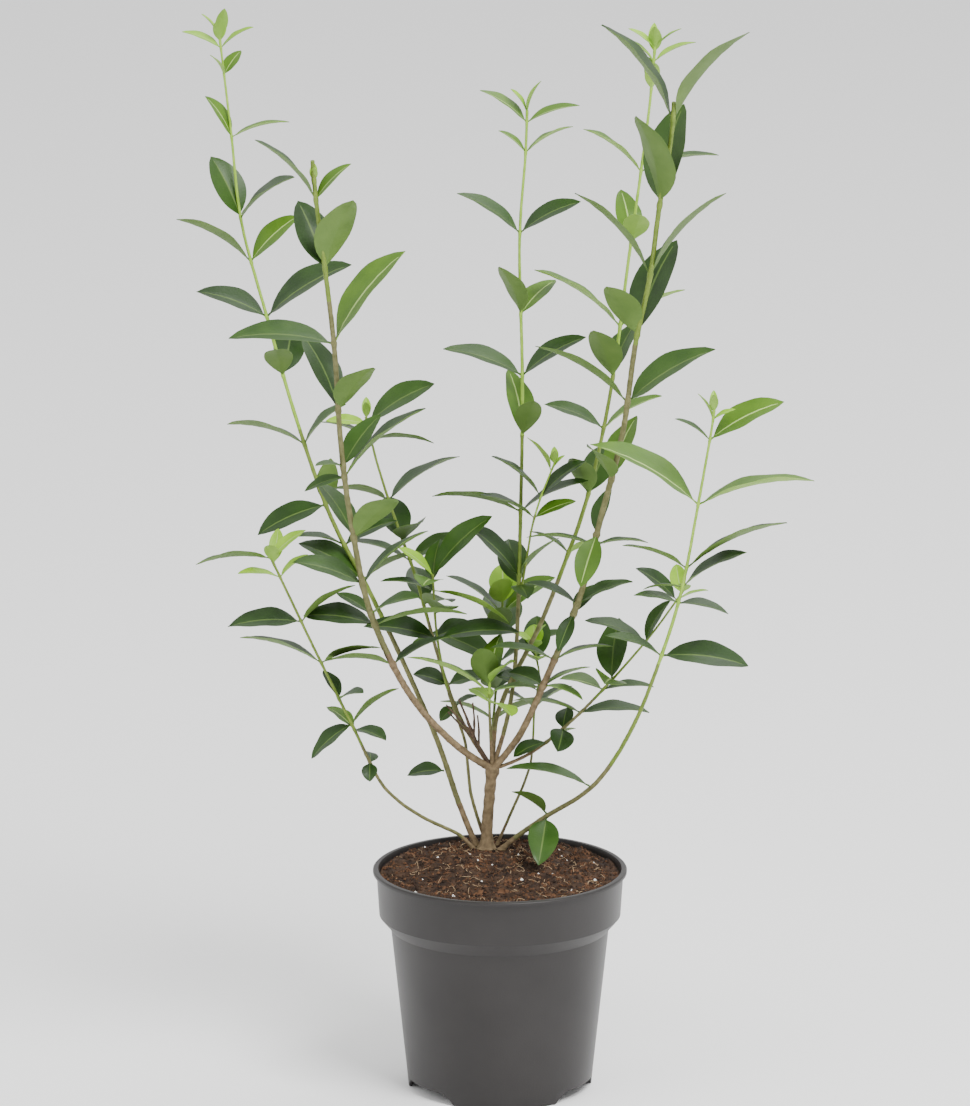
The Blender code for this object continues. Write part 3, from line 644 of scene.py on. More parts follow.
def limb_shape(line, girth, start, end, sides, level_foot=False):
    """A stretch of a shoot as a closed tapering limb."""
    total = distances(line)[-1]
    points = part_of(line, start, end)
    run = distances(points)
    radii = [radius_along(girth, (start + d) / total) for d in run]
    return tube(points, radii, sides, level_foot)


def trunk_shape():
    """The trunk from its flat foot and flare to the swollen fork."""
    foot = (*TRUNK_FOOT, MOUND_HEIGHT + GAP)
    head = Vector(FORK) + Vector(HEAD)
    flare_top = Vector(foot) + Vector((0.05, 0.0, FLARE_HEIGHT))
    waist = Vector(foot) + Vector((0.02, 0.0, FLARE_HEIGHT * 0.35))
    line = curve_through((flare_top, *TRUNK_ROUTE, FORK))
    points = [Vector(foot), waist, *line, head]
    radii = [FLARE_RADIUS, TRUNK_RADIUS * 1.3, TRUNK_RADIUS * 1.06]
    radii += [TRUNK_RADIUS] * (len(line) - 2)
    radii += [TRUNK_RADIUS * FORK_SWELL, TRUNK_RADIUS * 0.7]
    return tube(points, radii, TRUNK_SIDES, level_foot=True)


def stem_shape(shoot):
    """The leafy upper stretch of a shoot, without its leaves."""
    line = shoot_line(shoot)
    if len(shoot.foot or ()) == 3:
        start = 0.0
    else:
        start = distance_at_height(line, shoot.bare) + GAP
    return limb_shape(line, shoot.girth, start, distances(line)[-1], STEM_SIDES)


print("fork at", FORK)

# %% [markdown]
# The dead twigs fan out of a short dead stem. Their directions and lengths are drawn at random
# from a seed, so they are the same each time. They are drawn first, before any leaf.

# %% Plain dead twigs
def dead_line():
    """The line of the dead stem out of the fork."""
    return curve_through((FORK, *DEAD_ROUTE))


def dead_twig_shapes(rng):
    """The dead stem with its fan of bare twigs."""
    line = dead_line()
    total = distances(line)[-1]
    stem = limb_shape(line, DEAD_GIRTH, STUB + GAP, total, STEM_SIDES)
    twigs = []
    for index in range(DEAD_TWIG_COUNT):
        share = index / (DEAD_TWIG_COUNT - 1)
        root, _ = point_at(line, STUB + 4.0 + (total - STUB - 5.0) * share)
        bearing = 195.0 + rng.uniform(-30.0, 30.0)
        rise = 88.0 - DEAD_TWIG_SPREAD * ((index * 2) % DEAD_TWIG_COUNT) / DEAD_TWIG_COUNT
        length = rng.uniform(*DEAD_TWIG_LENGTH)
        tip = root + direction(bearing, rise) * length
        middle = root.lerp(tip, 0.55) + Vector((0.8, -0.6, -1.0))
        radii = [DEAD_TWIG_GIRTH[0] / 2, DEAD_TWIG_GIRTH[0] / 2 * 0.85, DEAD_TWIG_GIRTH[1] / 2]
        twigs.append(tube([root, middle, tip], radii, TWIG_SIDES))
    return stem, twigs


rng = random.Random(SEED)
dead = dead_twig_shapes(rng)
print("dead twigs", len(dead[1]))

# %% [markdown]
# To find where a leaf has room, a plain leaf of few faces is tried in its place. Leaves low on
# the shrub are small and round, and the young ones at a tip are slim.

# %% A plain leaf to try a place with
LEAF_THICKNESS = 1.0
LEAF_FOLD = 0.22
LEAF_CAMBER = 0.07
SMALL_LEAF = 32.0
WIDTH_MATURE = 0.38
WIDTH_YOUNG = 0.34
WIDTH_LOW = 0.58
LOW_LEAF_HEIGHT = 300.0
STEEP = 0.97


def leaf_axes(along, roll):
    """The directions across a leaf and out of its face, turned by its roll."""
    up = Vector((0.0, 0.0, 1.0)) if abs(along.z) <= STEEP else Vector((0.0, 1.0, 0.0))
    across = along.cross(up).normalized()
    normal = across.cross(along)
    turn = math.radians(roll)
    return (
        across * math.cos(turn) + normal * math.sin(turn),
        normal * math.cos(turn) - across * math.sin(turn),
    )


def leaf_shape(root, along, length, width, root_size, roll, swell=0.0):
    """The corners and faces of one leaf: a folded, arched blade on a short stalk.

    swell makes it thicker and wider all round, to test its clearance."""
    across, normal = leaf_axes(along, roll)
    half = width / 2.0
    stations = (
        (0.0, root_size, root_size * 0.9, 0.0),
        (0.30, half * 0.80 + swell, LEAF_THICKNESS / 2 + swell, 1.0),
        (0.66, half * 0.92 + swell, LEAF_THICKNESS / 2 + swell, 1.0),
    )
    corners = []
    for share, reach, thick, fold in stations:
        arch = LEAF_CAMBER * length * 4 * share * (1 - share)
        middle = root + along * (length * share) + normal * arch
        lift = normal * (LEAF_FOLD * reach * fold)
        corners += [
            middle + across * reach + lift,
            middle + normal * thick,
            middle - across * reach + lift,
            middle - normal * thick,
        ]
    corners.append(root + along * (length + swell))
    faces = [(3, 2, 1, 0)]
    for ring in (0, 4):
        for side in range(4):
            after = (side + 1) % 4
            faces.append((ring + side, ring + after, ring + 4 + after, ring + 4 + side))
    faces += [(8, 9, 12), (9, 10, 12), (10, 11, 12), (11, 8, 12)]
    return corners, faces


def leaf_width(length, height, draw):
    """A leaf's width: low small leaves are round, and young ones are slim."""
    if length < SMALL_LEAF and height < LOW_LEAF_HEIGHT:
        share = WIDTH_LOW
    elif length < SMALL_LEAF:
        share = WIDTH_YOUNG
    else:
        share = WIDTH_MATURE
    return length * share * draw


print("a mature leaf of 60 mm is", leaf_width(60, 400, 1.0), "mm wide")

# %% [markdown]
# The growth rule is that of the solids. A leaf is turned in small steps until it touches
# nothing, and left out if it has no room. Leaves of one shoot meet at their stem, so between
# those only the blades are compared.

# %% The growth rule
NUDGES = (0.0, 9.0, -9.0, 18.0, -18.0, 28.0, -28.0)
STALK_FACES = 5


def surface(shape, blade_only=False):
    """A search tree over a shape's faces, or over a leaf's blade without its stalk."""
    corners, faces = shape
    if blade_only:
        faces = faces[STALK_FACES:]
    return BVHTree.FromPolygons(corners, faces)


class Crown:
    """What the leaves must stay clear of, and the leaves set so far."""

    def __init__(self):
        self.limbs = []
        self.leaves = []

    def settle(self, owner, root, bearing, rise, length, width, root_size, roll):
        """Turns a leaf a little, if it must, until it touches nothing. None if it can't."""
        turns = [(b, r) for b in NUDGES for r in NUDGES]
        turns.sort(key=lambda pair: abs(pair[0]) + abs(pair[1]))
        for turn, tilt in turns:
            along = direction(bearing + turn, rise + tilt)
            test = leaf_shape(root, along, length, width, root_size, roll, GAP)
            whole = surface(test)
            blade = surface(test, blade_only=True)
            if any(whole.overlap(tree) for name, tree in self.limbs if name != owner):
                continue
            if any(
                blade.overlap(other_blade) if name == owner else whole.overlap(other)
                for name, other, other_blade in self.leaves
            ):
                continue
            shape = leaf_shape(root, along, length, width, root_size, roll)
            self.leaves.append((owner, surface(shape), surface(shape, blade_only=True)))
            return shape
        return None


print("turns to try", len(NUDGES) ** 2)

# %% [markdown]
# A mesh that is made of hundreds of alike shapes is best filled as lists of corners and faces,
# which is much faster than adding an object for each. Each face keeps the number of its finish.

# %% A heap of small shapes
SHARP_ANGLE = 50


class Heap:
    """Collects corners, faces and the finish of each face."""

    def __init__(self):
        self.corners, self.faces, self.finishes = [], [], []

    def add(self, corners, faces, finishes):
        """Adds a shape, with one finish for all its faces or a list of them."""
        base = len(self.corners)
        self.corners += [tuple(c) for c in corners]
        self.faces += [tuple(base + i for i in face) for face in faces]
        if isinstance(finishes, int):
            finishes = [finishes] * len(faces)
        self.finishes += finishes

    def become(self, name, materials, slot, nodes):
        """Makes the joined piece and lets it stand for its solids."""
        mesh = bpy.data.meshes.new(name)
        mesh.from_pydata([tuple(v * MM for v in c) for c in self.corners], [], self.faces)
        for material in materials:
            mesh.materials.append(material)
        mesh.polygons.foreach_set("material_index", self.finishes)
        mesh.shade_smooth()
        mesh.set_sharp_from_angle(angle=math.radians(SHARP_ANGLE))
        mesh.update()
        piece = bpy.data.objects.new(name, mesh)
        bpy.context.scene.collection.objects.link(piece)
        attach(piece, "root")
        if nodes:
            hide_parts(*nodes)
        print(name, "faces", len(self.faces))


leaf_heap, wood_heap, soil_heap, litter_heap = Heap(), Heap(), Heap(), Heap()
print("heaps ready")

# %% [markdown]
# A privet leaf is a narrow oval on a short stalk. It is folded along its midrib, arches
# outward and bends down at the tip, and its edge ripples a little. Rings of corners are laid
# along it and joined into a closed thin blade, with a groove over the midrib on top and a ridge
# below. The outline is a formula, so that every leaf can have its own length and width.

# %% One leaf
LEAF_STATIONS = 15
STATION_CROWDING = 1.08
LEAF_COLUMNS = (-1.0, -0.72, -0.40, -0.055, 0.055, 0.40, 0.72, 1.0)
RIB_COLUMN = 3
RIB_REACH = 0.1
STALK_SHARE = 0.075
STALK_FADE = 2.2
STALK_RADIUS = 0.75
BLADE = 0.20
EDGE_THINNING = 0.35
TIP_REACH = 0.12
LEAF_FULLNESS = 1.32
WIDEST_SHIFT = 0.92
ROUNDNESS = 0.66
TIP_TAPER = 0.12
FOLD_CURVE = 1.25
RIPPLE = (0.01, 0.035)
RIPPLE_WAVES = 15.0
TWIST = 0.25
TWIST_CENTRE = 0.4
QUILT_DEPTH = 0.10
QUILT_WAVES = (40.0, 5.0)
GROOVE_DEPTH = 0.16
RIDGE_DEPTH = 0.28


def half_width(share):
    """The outline: half the width as a share of the widest, along the leaf."""
    if share <= STALK_SHARE:
        return 0.0
    along = (share - STALK_SHARE) / (1.0 - STALK_SHARE)
    return math.sin(math.pi * along**WIDEST_SHIFT) ** ROUNDNESS * (1.0 - TIP_TAPER * along)


def leaf_tones(age, looks):
    """The finishes of a leaf's top, underside and midrib, by how young it looks."""
    if age > 0.85:
        return LIME, UNDER_YOUNG, RIB_YOUNG
    if age > 0.5:
        return FRESH, UNDER_YOUNG, RIB_YOUNG
    return (DEEP if looks.random() < 0.5 else DARK), UNDER, RIB


def fine_leaf(root, along, length, width, roll, stem, age, looks):
    """Adds one leaf to the heap of leaves."""
    across, normal = leaf_axes(along, roll)
    half = width / 2.0 * LEAF_FULLNESS
    stalk = min(stem, STALK_RADIUS)
    wave = looks.uniform(0.0, math.tau)
    ripple = looks.uniform(*RIPPLE) * half
    twist = looks.uniform(-TWIST, TWIST)
    tone, under, rib = leaf_tones(age, looks)
    corners, faces, finishes = [], [], []
    for index in range(LEAF_STATIONS):
        share = (index / (LEAF_STATIONS - 1)) ** STATION_CROWDING
        reach = max(half * half_width(share), stalk if share < 0.5 else TIP_REACH)
        arch = LEAF_CAMBER * length * 4 * share * (1 - share)
        middle = root + along * (length * share) + normal * arch
        spin = twist * (share - TWIST_CENTRE)
        side = across * math.cos(spin) + normal * math.sin(spin)
        lift = normal * math.cos(spin) - across * math.sin(spin)
        thick = max(BLADE, stalk * max(0.0, 1.0 - share / (STALK_SHARE * STALK_FADE)))
        top, bottom = [], []
        for column in LEAF_COLUMNS:
            away = abs(column)
            on_blade = share > STALK_SHARE
            on_rib = on_blade and away < RIB_REACH
            fold = LEAF_FOLD * reach * away**FOLD_CURVE if on_blade else 0.0
            edge = ripple * away**3 * math.sin(wave + share * RIPPLE_WAVES + column)
            swing = math.sin(share * QUILT_WAVES[0] - away * QUILT_WAVES[1])
            quilt = QUILT_DEPTH * swing * (1 - away) * half / 10
            rim = thick * (EDGE_THINNING if away == 1.0 else 1.0)
            place = middle + side * (reach * column) + lift * (fold + edge + quilt)
            top.append(place + lift * (rim - (GROOVE_DEPTH if on_rib else 0.0)))
            bottom.append(place - lift * (rim + (RIDGE_DEPTH * (1 - share) if on_rib else 0.0)))
        corners += top + bottom[::-1]
    size = len(LEAF_COLUMNS) * 2
    for ring in range(LEAF_STATIONS - 1):
        for k in range(size):
            after = (k + 1) % size
            a, b = ring * size, (ring + 1) * size
            faces.append((a + k, b + k, b + after, a + after))
            if k >= len(LEAF_COLUMNS) - 1:
                finishes.append(under)
            else:
                finishes.append(rib if k == RIB_COLUMN and ring < LEAF_STATIONS - 2 else tone)
    faces.append(tuple(range(size)))
    faces.append(tuple(reversed(range((LEAF_STATIONS - 1) * size, LEAF_STATIONS * size))))
    finishes += [tone, tone]
    leaf_heap.add(corners, faces, finishes)


print("rings in a leaf", LEAF_STATIONS, "corners in a ring", len(LEAF_COLUMNS) * 2)

# %% [markdown]
# The limbs that the leaves keep clear of go into the crown first. They are the plain limbs of
# the solids, so that a leaf finds the same room as its solid did.

# %% Limbs in the way
crown = Crown()
crown.limbs.append(("trunk", surface(trunk_shape())))
for shoot in SHOOTS:
    line = shoot_line(shoot)
    from_fork = shoot.foot is None
    start = STUB + GAP if from_fork else 0.0
    end = distance_at_height(line, shoot.bare)
    bare = limb_shape(line, shoot.girth, start, end, LIMB_SIDES, level_foot=not from_fork)
    crown.limbs.append(("bough_" + shoot.name, surface(bare)))
    crown.limbs.append(("foliage_" + shoot.name, surface(stem_shape(shoot))))
crown.limbs.append(("foliage_" + SIDE_SHOOT_OWNER, surface(stem_shape(SIDE_SHOOT))))
crown.limbs += [("twigs_dead", surface(shape)) for shape in (dead[0], *dead[1])]
print("limbs in the way", len(crown.limbs))

# %% [markdown]
# New growth is lime green and old leaves are dark, so a leaf's age follows from its height on
# its shoot, with some chance in it. A second seed makes these draws, so that they don't disturb
# those of the solids.

# %% A leaf's age and place
YOUNG_FROM = {"far_left": 440, "middle": 430, "right_rear": 400, "far_right": 360,
              "side": 405, "heart": 255}
TIP_ZONE = 16
AT_TIP, YOUNGISH, YOUNG_BY_CHANCE, GROWN = 1.0, 0.6, 0.55, 0.0
LEAF_ROOT = 0.62
LEAF_ROLL = 24.0
looks = random.Random(SEED + 1)


def leaf_age(name, height, length, top):
    """How young a leaf looks: 1 at a growing tip, 0 on old wood."""
    if top - height < TIP_ZONE and length < SMALL_LEAF:
        return AT_TIP
    start = YOUNG_FROM.get(name)
    if start is None or height < start:
        return YOUNG_BY_CHANCE if looks.random() < 0.10 else GROWN
    chance = 0.25 + 0.6 * (height - start) / max(top - start, 1)
    return YOUNGISH if looks.random() < chance else GROWN


def grow_leaf(owner, name, root, bearing, rise, length, width, root_size, roll, height, top):
    """Sets one leaf by the rule and adds its fine mesh."""
    shape = crown.settle(owner, root, bearing, rise, length, width, root_size, roll)
    if shape is None:
        return
    along = (shape[0][-1] - root).normalized()
    age = leaf_age(name, height, length, top)
    fine_leaf(root, along, length, width, roll, root_size, age, looks)


print("a leaf's root is", LEAF_ROOT, "of its stem's radius")

# %% [markdown]
# Single leaves are set first and then the pairs, shoot by shoot. The order is that of the
# solids, since a leaf that is set later gives way.

# %% Grow the leaves
SHRUB_TOP = 700
WIDTH_DRAW = (0.88, 1.12)
for sprig in SPRIGS:
    shoot = next(item for item in SHOOTS if item.name == sprig.limb)
    line = shoot_line(shoot)
    distance = distance_at_height(line, sprig.height)
    axis, _ = point_at(line, distance)
    radius = radius_along(shoot.girth, distance / distances(line)[-1])
    root = axis + direction(sprig.bearing, sprig.rise) * (radius + 2.0 * GAP)
    width = leaf_width(sprig.length, sprig.height, 1.0)
    roll = rng.uniform(-LEAF_ROLL, LEAF_ROLL)
    grow_leaf("", "sprig", root, sprig.bearing, sprig.rise, sprig.length, width, LEAF_ROOT,
              roll, sprig.height, SHRUB_TOP)


def grow_shoot(shoot, owner):
    """Sets the pairs of leaves of a shoot."""
    line = shoot_line(shoot)
    total = distances(line)[-1]
    for height, bearing, rise, length, other_rise, other_length in shoot.leafing:
        distance = distance_at_height(line, height)
        root, _ = point_at(line, distance)
        root_size = LEAF_ROOT * radius_along(shoot.girth, distance / total)
        pair = ((bearing, rise, length), (bearing + 180, other_rise, other_length))
        for leaf_bearing, leaf_rise, leaf_length in pair:
            roll = rng.uniform(-LEAF_ROLL, LEAF_ROLL)
            width = leaf_width(leaf_length, height, rng.uniform(*WIDTH_DRAW))
            grow_leaf(owner, shoot.name, root, leaf_bearing, leaf_rise, leaf_length, width,
                      root_size, roll, height, shoot.route[-1][2])


for shoot in SHOOTS:
    grow_shoot(shoot, "foliage_" + shoot.name)
    if shoot.name == SIDE_SHOOT_OWNER:
        grow_shoot(SIDE_SHOOT, "foliage_" + SIDE_SHOOT_OWNER)
leafy = [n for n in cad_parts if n.startswith(("foliage_", "sprig_"))]
leaf_heap.become("leaves", LEAF_FINISHES, "foliage", leafy)
print("leaves", len(crown.leaves))

# %% [markdown]
# Real stems are round, a little uneven, and swollen at each pair of leaves. The limb's line is
# taken in short steps and smoothed, each ring gets its own radius, and noise that is drawn out
# lengthways pushes the corners in and out like bark.

# %% One limb with its bark
WOOD_STEP = 2.2
WOOD_SIDES = 12
SMOOTHING_PASSES = 6
NODE_SWELL = 0.30
NODE_SPREAD = 1.9
BARK_ACROSS = 0.9
BARK_ALONG = 0.28


def fine_line(line):
    """The same line with closer points, on a smooth curve."""
    total = distances(line)[-1]
    count = max(2, int(total / WOOD_STEP))
    points = [point_at(line, total * i / count)[0] for i in range(count + 1)]
    for _ in range(SMOOTHING_PASSES):
        inner = [(a + 2 * b + c) / 4 for a, b, c in zip(points, points[1:], points[2:])]
        points = [points[0], *inner, points[-1]]
    return points


def wood(line, radius_of, finish_of, swells, rough, level_foot=False):
    """Adds one limb with bark relief and swollen nodes to the heap of wood."""
    points = fine_line(line)
    run = distances(points)
    radii = []
    for distance in run:
        swell = sum(NODE_SWELL * math.exp(-(((distance - s) / NODE_SPREAD) ** 2)) for s in swells)
        radii.append(radius_of(distance / run[-1]) * (1.0 + swell))
    corners, faces = tube(points, radii, WOOD_SIDES, level_foot)
    shaped = []
    for index, corner in enumerate(corners):
        ring = index // WOOD_SIDES
        out = (corner - points[ring]).normalized()
        seed = Vector((corner.x * BARK_ACROSS, corner.y * BARK_ACROSS, corner.z * BARK_ALONG))
        shaped.append(corner + out * (noise.noise(seed) * rough * radii[ring]))
    finishes = []
    for face in faces:
        ring = min(face) // WOOD_SIDES
        finishes.append(finish_of(points[ring].z))
    wood_heap.add(shaped, faces, finishes)


print("rings every", WOOD_STEP, "mm")

# %% [markdown]
# The trunk flares at the soil, keeps its thickness to the fork and swells there, where the old
# shoots were cut back. Its bark is the roughest.

# %% Trunk
FLARE_RUN, FLARE_FALL = 60.0, 4.0
FORK_PLACE, FORK_SPREAD = 0.93, 0.06
CAP_FROM = 0.95
TRUNK_ROUGHNESS = 0.22


def trunk_radius(share):
    """The trunk's taper, its root flare and the swollen fork."""
    flare = (FLARE_RADIUS - TRUNK_RADIUS) * math.exp(-share * FLARE_RUN / FLARE_FALL)
    bulge = math.exp(-(((share - FORK_PLACE) / FORK_SPREAD) ** 2))
    head = TRUNK_RADIUS * (FORK_SWELL - 1.0) * bulge
    end = 1.0 - 0.5 * max(0.0, (share - CAP_FROM) / 0.05) ** 2
    return (TRUNK_RADIUS + flare + head) * end


foot = Vector((*TRUNK_FOOT, MOUND_HEIGHT + GAP))
top = (FORK[0] + HEAD[0], FORK[1], FORK[2] + HEAD[2])
wood(curve_through((foot, *TRUNK_ROUTE, FORK, top)), trunk_radius, lambda height: BROWN_BARK,
     (), TRUNK_ROUGHNESS, level_foot=True)
print("trunk faces", len(wood_heap.faces))

# %% [markdown]
# Each shoot is one limb from its foot to its tip, bare or leafy. The heights below are where
# its bark turns from brown to olive, to green and to lime. A small collar thickens its foot.

# %% Boughs and stems
TURNS_AT = {"left": (300, 560, 900), "right": (290, 520, 900), "right_rear": (230, 330, 470),
            "middle": (230, 330, 430), "left_rear": (225, 300, 900), "right_twig": (225, 260, 330),
            "heart": (228, 250, 262), "far_left": (180, 300, 430), "low_left": (160, 230, 900),
            "thin_left": (165, 260, 900), "far_right": (160, 220, 300),
            "thin_rear": (165, 220, 900), "back": (165, 220, 320), "side": (100, 330, 380)}
COLLAR, COLLAR_RUN = 0.35, 3.0
SHOOT_ROUGHNESS = 0.14


def grow_wood(shoot):
    """One whole shoot of wood, from its foot to its tip."""
    line = shoot_line(shoot)
    total = distances(line)[-1]
    swells = [distance_at_height(line, row[0]) for row in shoot.leafing]

    def radius_of(share):
        collar = COLLAR * math.exp(-share * total / COLLAR_RUN)
        return radius_along(shoot.girth, share) * (1.0 + collar)

    def finish_of(height):
        return sum(height > level for level in TURNS_AT[shoot.name])

    wood(line, radius_of, finish_of, swells, SHOOT_ROUGHNESS, len(shoot.foot or ()) == 2)


for shoot in (*SHOOTS, SIDE_SHOOT):
    grow_wood(shoot)
print("wood faces so far", len(wood_heap.faces))

# %% [markdown]
# The dead stem and its twigs are rougher than living wood. A twig's line is found again from
# the middles of its plain rings, and a small knot sits part of the way along it.

# %% Dead twigs
DEAD_ROUGHNESS, DEAD_TWIG_ROUGHNESS = 0.25, 0.3
KNOT_AT = 10
TWIG_RINGS = 3
wood(dead_line(), lambda share: radius_along(DEAD_GIRTH, share), lambda height: DEAD_WOOD,
     (), DEAD_ROUGHNESS)
for corners, _ in dead[1]:
    middles = [sum(corners[k:k + TWIG_SIDES], Vector()) / TWIG_SIDES
               for k in range(0, TWIG_RINGS * TWIG_SIDES, TWIG_SIDES)]
    wood(curve_through(middles), lambda share: radius_along(DEAD_TWIG_GIRTH, share),
         lambda height: DEAD_WOOD, (KNOT_AT,), DEAD_TWIG_ROUGHNESS)
wooden = [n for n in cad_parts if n.startswith("bough_")] + ["trunk", "twigs_dead"]
wood_heap.become("wood", BARK_FINISHES, "bark", wooden)

# %% [markdown]
# The pot is thin moulded plastic and round, with a deep collar that narrows in a short
# shoulder, a thin proud lip, and a floor raised on feet. All of that is in one section from the
# axis out and back, so the section is drawn once, from the pot's sizes.

# %% The pot's section
POT_HEIGHT = 150.0
RIM_RADIUS = 85.0
LIP_DEPTH = 3.0
LIP_PROUD = 2.2
COLLAR_DEPTH = 31.3
COLLAR_DRAFT = 2.0
SHOULDER_DEPTH = 9.2
SHOULDER_IN = 7.8
FOOT_RADIUS = 61.4
BODY_TAPER_END = 62.0
WALL = 1.8
FOOT_HEIGHT = 7.0
FLOOR_UNDERSIDE = 7.6
FLOOR_THICKNESS = 2.0
BOSS_RADIUS = 15.0


def inner_radius(height):
    """The radius of the pot's inner wall at a height."""
    collar_foot = POT_HEIGHT - COLLAR_DEPTH
    shoulder_foot = collar_foot - SHOULDER_DEPTH
    collar_top_radius = RIM_RADIUS - LIP_PROUD - WALL
    collar_foot_radius = collar_top_radius - COLLAR_DRAFT
    body_radius = collar_foot_radius - SHOULDER_IN
    stations = (
        (FLOOR_UNDERSIDE, BODY_TAPER_END - WALL),
        (shoulder_foot, body_radius),
        (collar_foot, collar_foot_radius),
        (POT_HEIGHT, collar_top_radius),
    )
    for (low, low_radius), (high, high_radius) in zip(stations, stations[1:]):
        if height <= high:
            share = (height - low) / (high - low)
            return low_radius + share * (high_radius - low_radius)
    return collar_top_radius


def pot_outline():
    """The pot's section: underside, outer wall, lip, inner wall and floor."""
    collar_foot = POT_HEIGHT - COLLAR_DEPTH
    shoulder_foot = collar_foot - SHOULDER_DEPTH
    lip_foot = POT_HEIGHT - LIP_DEPTH
    floor_top = FLOOR_UNDERSIDE + FLOOR_THICKNESS
    outer = [
        (0.0, 0.0),
        (BOSS_RADIUS, 0.0),
        (BOSS_RADIUS + 1.0, FLOOR_UNDERSIDE),
        (FOOT_RADIUS - WALL, FLOOR_UNDERSIDE),
        (FOOT_RADIUS - WALL, 0.0),
        (FOOT_RADIUS, 0.0),
        (BODY_TAPER_END + 0.2, FOOT_HEIGHT + 1.5),
        (inner_radius(shoulder_foot) + WALL, shoulder_foot),
        (inner_radius(collar_foot) + WALL, collar_foot),
        (inner_radius(lip_foot) + WALL, lip_foot),
        (RIM_RADIUS, lip_foot + 0.6),
        (RIM_RADIUS, POT_HEIGHT - 0.8),
        (RIM_RADIUS - 0.9, POT_HEIGHT),
    ]
    inner = [
        (inner_radius(POT_HEIGHT) + 0.4, POT_HEIGHT),
        (inner_radius(lip_foot), lip_foot),
        (inner_radius(collar_foot), collar_foot),
        (inner_radius(shoulder_foot), shoulder_foot),
        (inner_radius(floor_top), floor_top),
        (0.0, floor_top),
    ]
    return outer + inner


print("corners in the section", len(pot_outline()))

# %% [markdown]
# Turning the section about the pot's axis gives the whole shell, as a potter or a lathe would.
# Spin leaves doubled corners where it closes, so these are merged, and then the normals are
# made to point outwards.

# %% Spin the pot
SPIN_STEPS = 180
MERGE_DISTANCE = 0.00001
section = pot_outline()
mesh = bpy.data.meshes.new("potshell")
mesh.from_pydata(
    [(r * MM, 0.0, z * MM) for r, z in section], [(i, i + 1) for i in range(len(section) - 1)], [])
pot = bpy.data.objects.new("potshell", mesh)
bpy.context.scene.collection.objects.link(pot)
bpy.context.view_layer.objects.active = pot
pot.select_set(True)
bpy.ops.object.mode_set(mode="EDIT")
bpy.ops.mesh.select_all(action="SELECT")
bpy.ops.mesh.spin(steps=SPIN_STEPS, angle=math.tau, center=(0, 0, 0), axis=(0, 0, 1))
bpy.ops.mesh.select_all(action="SELECT")
bpy.ops.mesh.remove_doubles(threshold=MERGE_DISTANCE)
bpy.ops.mesh.normals_make_consistent(inside=False)
bpy.ops.object.mode_set(mode="OBJECT")
print("pot faces", len(pot.data.polygons))

# %% [markdown]
# The pot stands on three wide feet, which are what is left of its bottom ring between three
# gaps. A gap is cut with a wedge that is wider at the ground than above it.

# %% Gaps between the feet
FOOT_COUNT = 3
FIRST_FOOT = 273.5
FOOT_HALF_ANGLE_TOP = 42.5
FOOT_HALF_ANGLE_GROUND = 34.5
WEDGE_FLARE = 2.0
WEDGE_REACH = (0.72, 1.35)
WEDGE_FOOT = -2.0


def cut(tool):
    """Cuts the pot with a tool, and removes the tool."""
    step = pot.modifiers.new("cut", "BOOLEAN")
    step.object = tool
    step.operation = "DIFFERENCE"
    bpy.context.view_layer.objects.active = pot
    bpy.ops.object.modifier_apply(modifier=step.name)
    bpy.data.objects.remove(tool, do_unlink=True)


def around(radius, bearing, height):
    """A place in metres at a radius and bearing from the pot's axis."""
    turn = math.radians(bearing)
    return radius * math.cos(turn) * MM, radius * math.sin(turn) * MM, height * MM


for index in range(FOOT_COUNT):
    bearing = FIRST_FOOT + 360.0 / FOOT_COUNT * (index + 0.5)
    spacing = 360.0 / FOOT_COUNT / 2.0
    levels = ((WEDGE_FOOT, spacing - FOOT_HALF_ANGLE_GROUND + WEDGE_FLARE),
              (FOOT_HEIGHT, spacing - FOOT_HALF_ANGLE_TOP))
    form = bmesh.new()
    bmesh.ops.convex_hull(form, input=[
        form.verts.new(around(FOOT_RADIUS * reach, bearing + side * half_angle, height))
        for height, half_angle in levels for reach in WEDGE_REACH for side in (-1, 1)])
    bmesh.ops.recalc_face_normals(form, faces=form.faces)
    wedge_mesh = bpy.data.meshes.new("wedge")
    form.to_mesh(wedge_mesh)
    form.free()
    wedge = bpy.data.objects.new("wedge", wedge_mesh)
    bpy.context.scene.collection.objects.link(wedge)
    cut(wedge)
print("feet", FOOT_COUNT)

# %% [markdown]
# Water drains through round holes in the floor. Each is cut with a cylinder.

# %% Drain holes
DRAIN_COUNT = 6
DRAIN_RADIUS = 4.0
DRAIN_CIRCLE = 46.0
DRAIN_DEPTH = 6.0
for index in range(DRAIN_COUNT):
    bpy.ops.mesh.primitive_cylinder_add(
        vertices=32, radius=DRAIN_RADIUS * MM, depth=DRAIN_DEPTH * MM,
        location=around(DRAIN_CIRCLE, FIRST_FOOT + 360.0 / DRAIN_COUNT * (index + 0.5),
                        FLOOR_UNDERSIDE))
    cut(bpy.context.object)
print("drain holes", DRAIN_COUNT)

# %% [markdown]
# A moulded edge is never knife sharp. A narrow bevel on the corners of the section catches the
# light as the real lip and collar do.

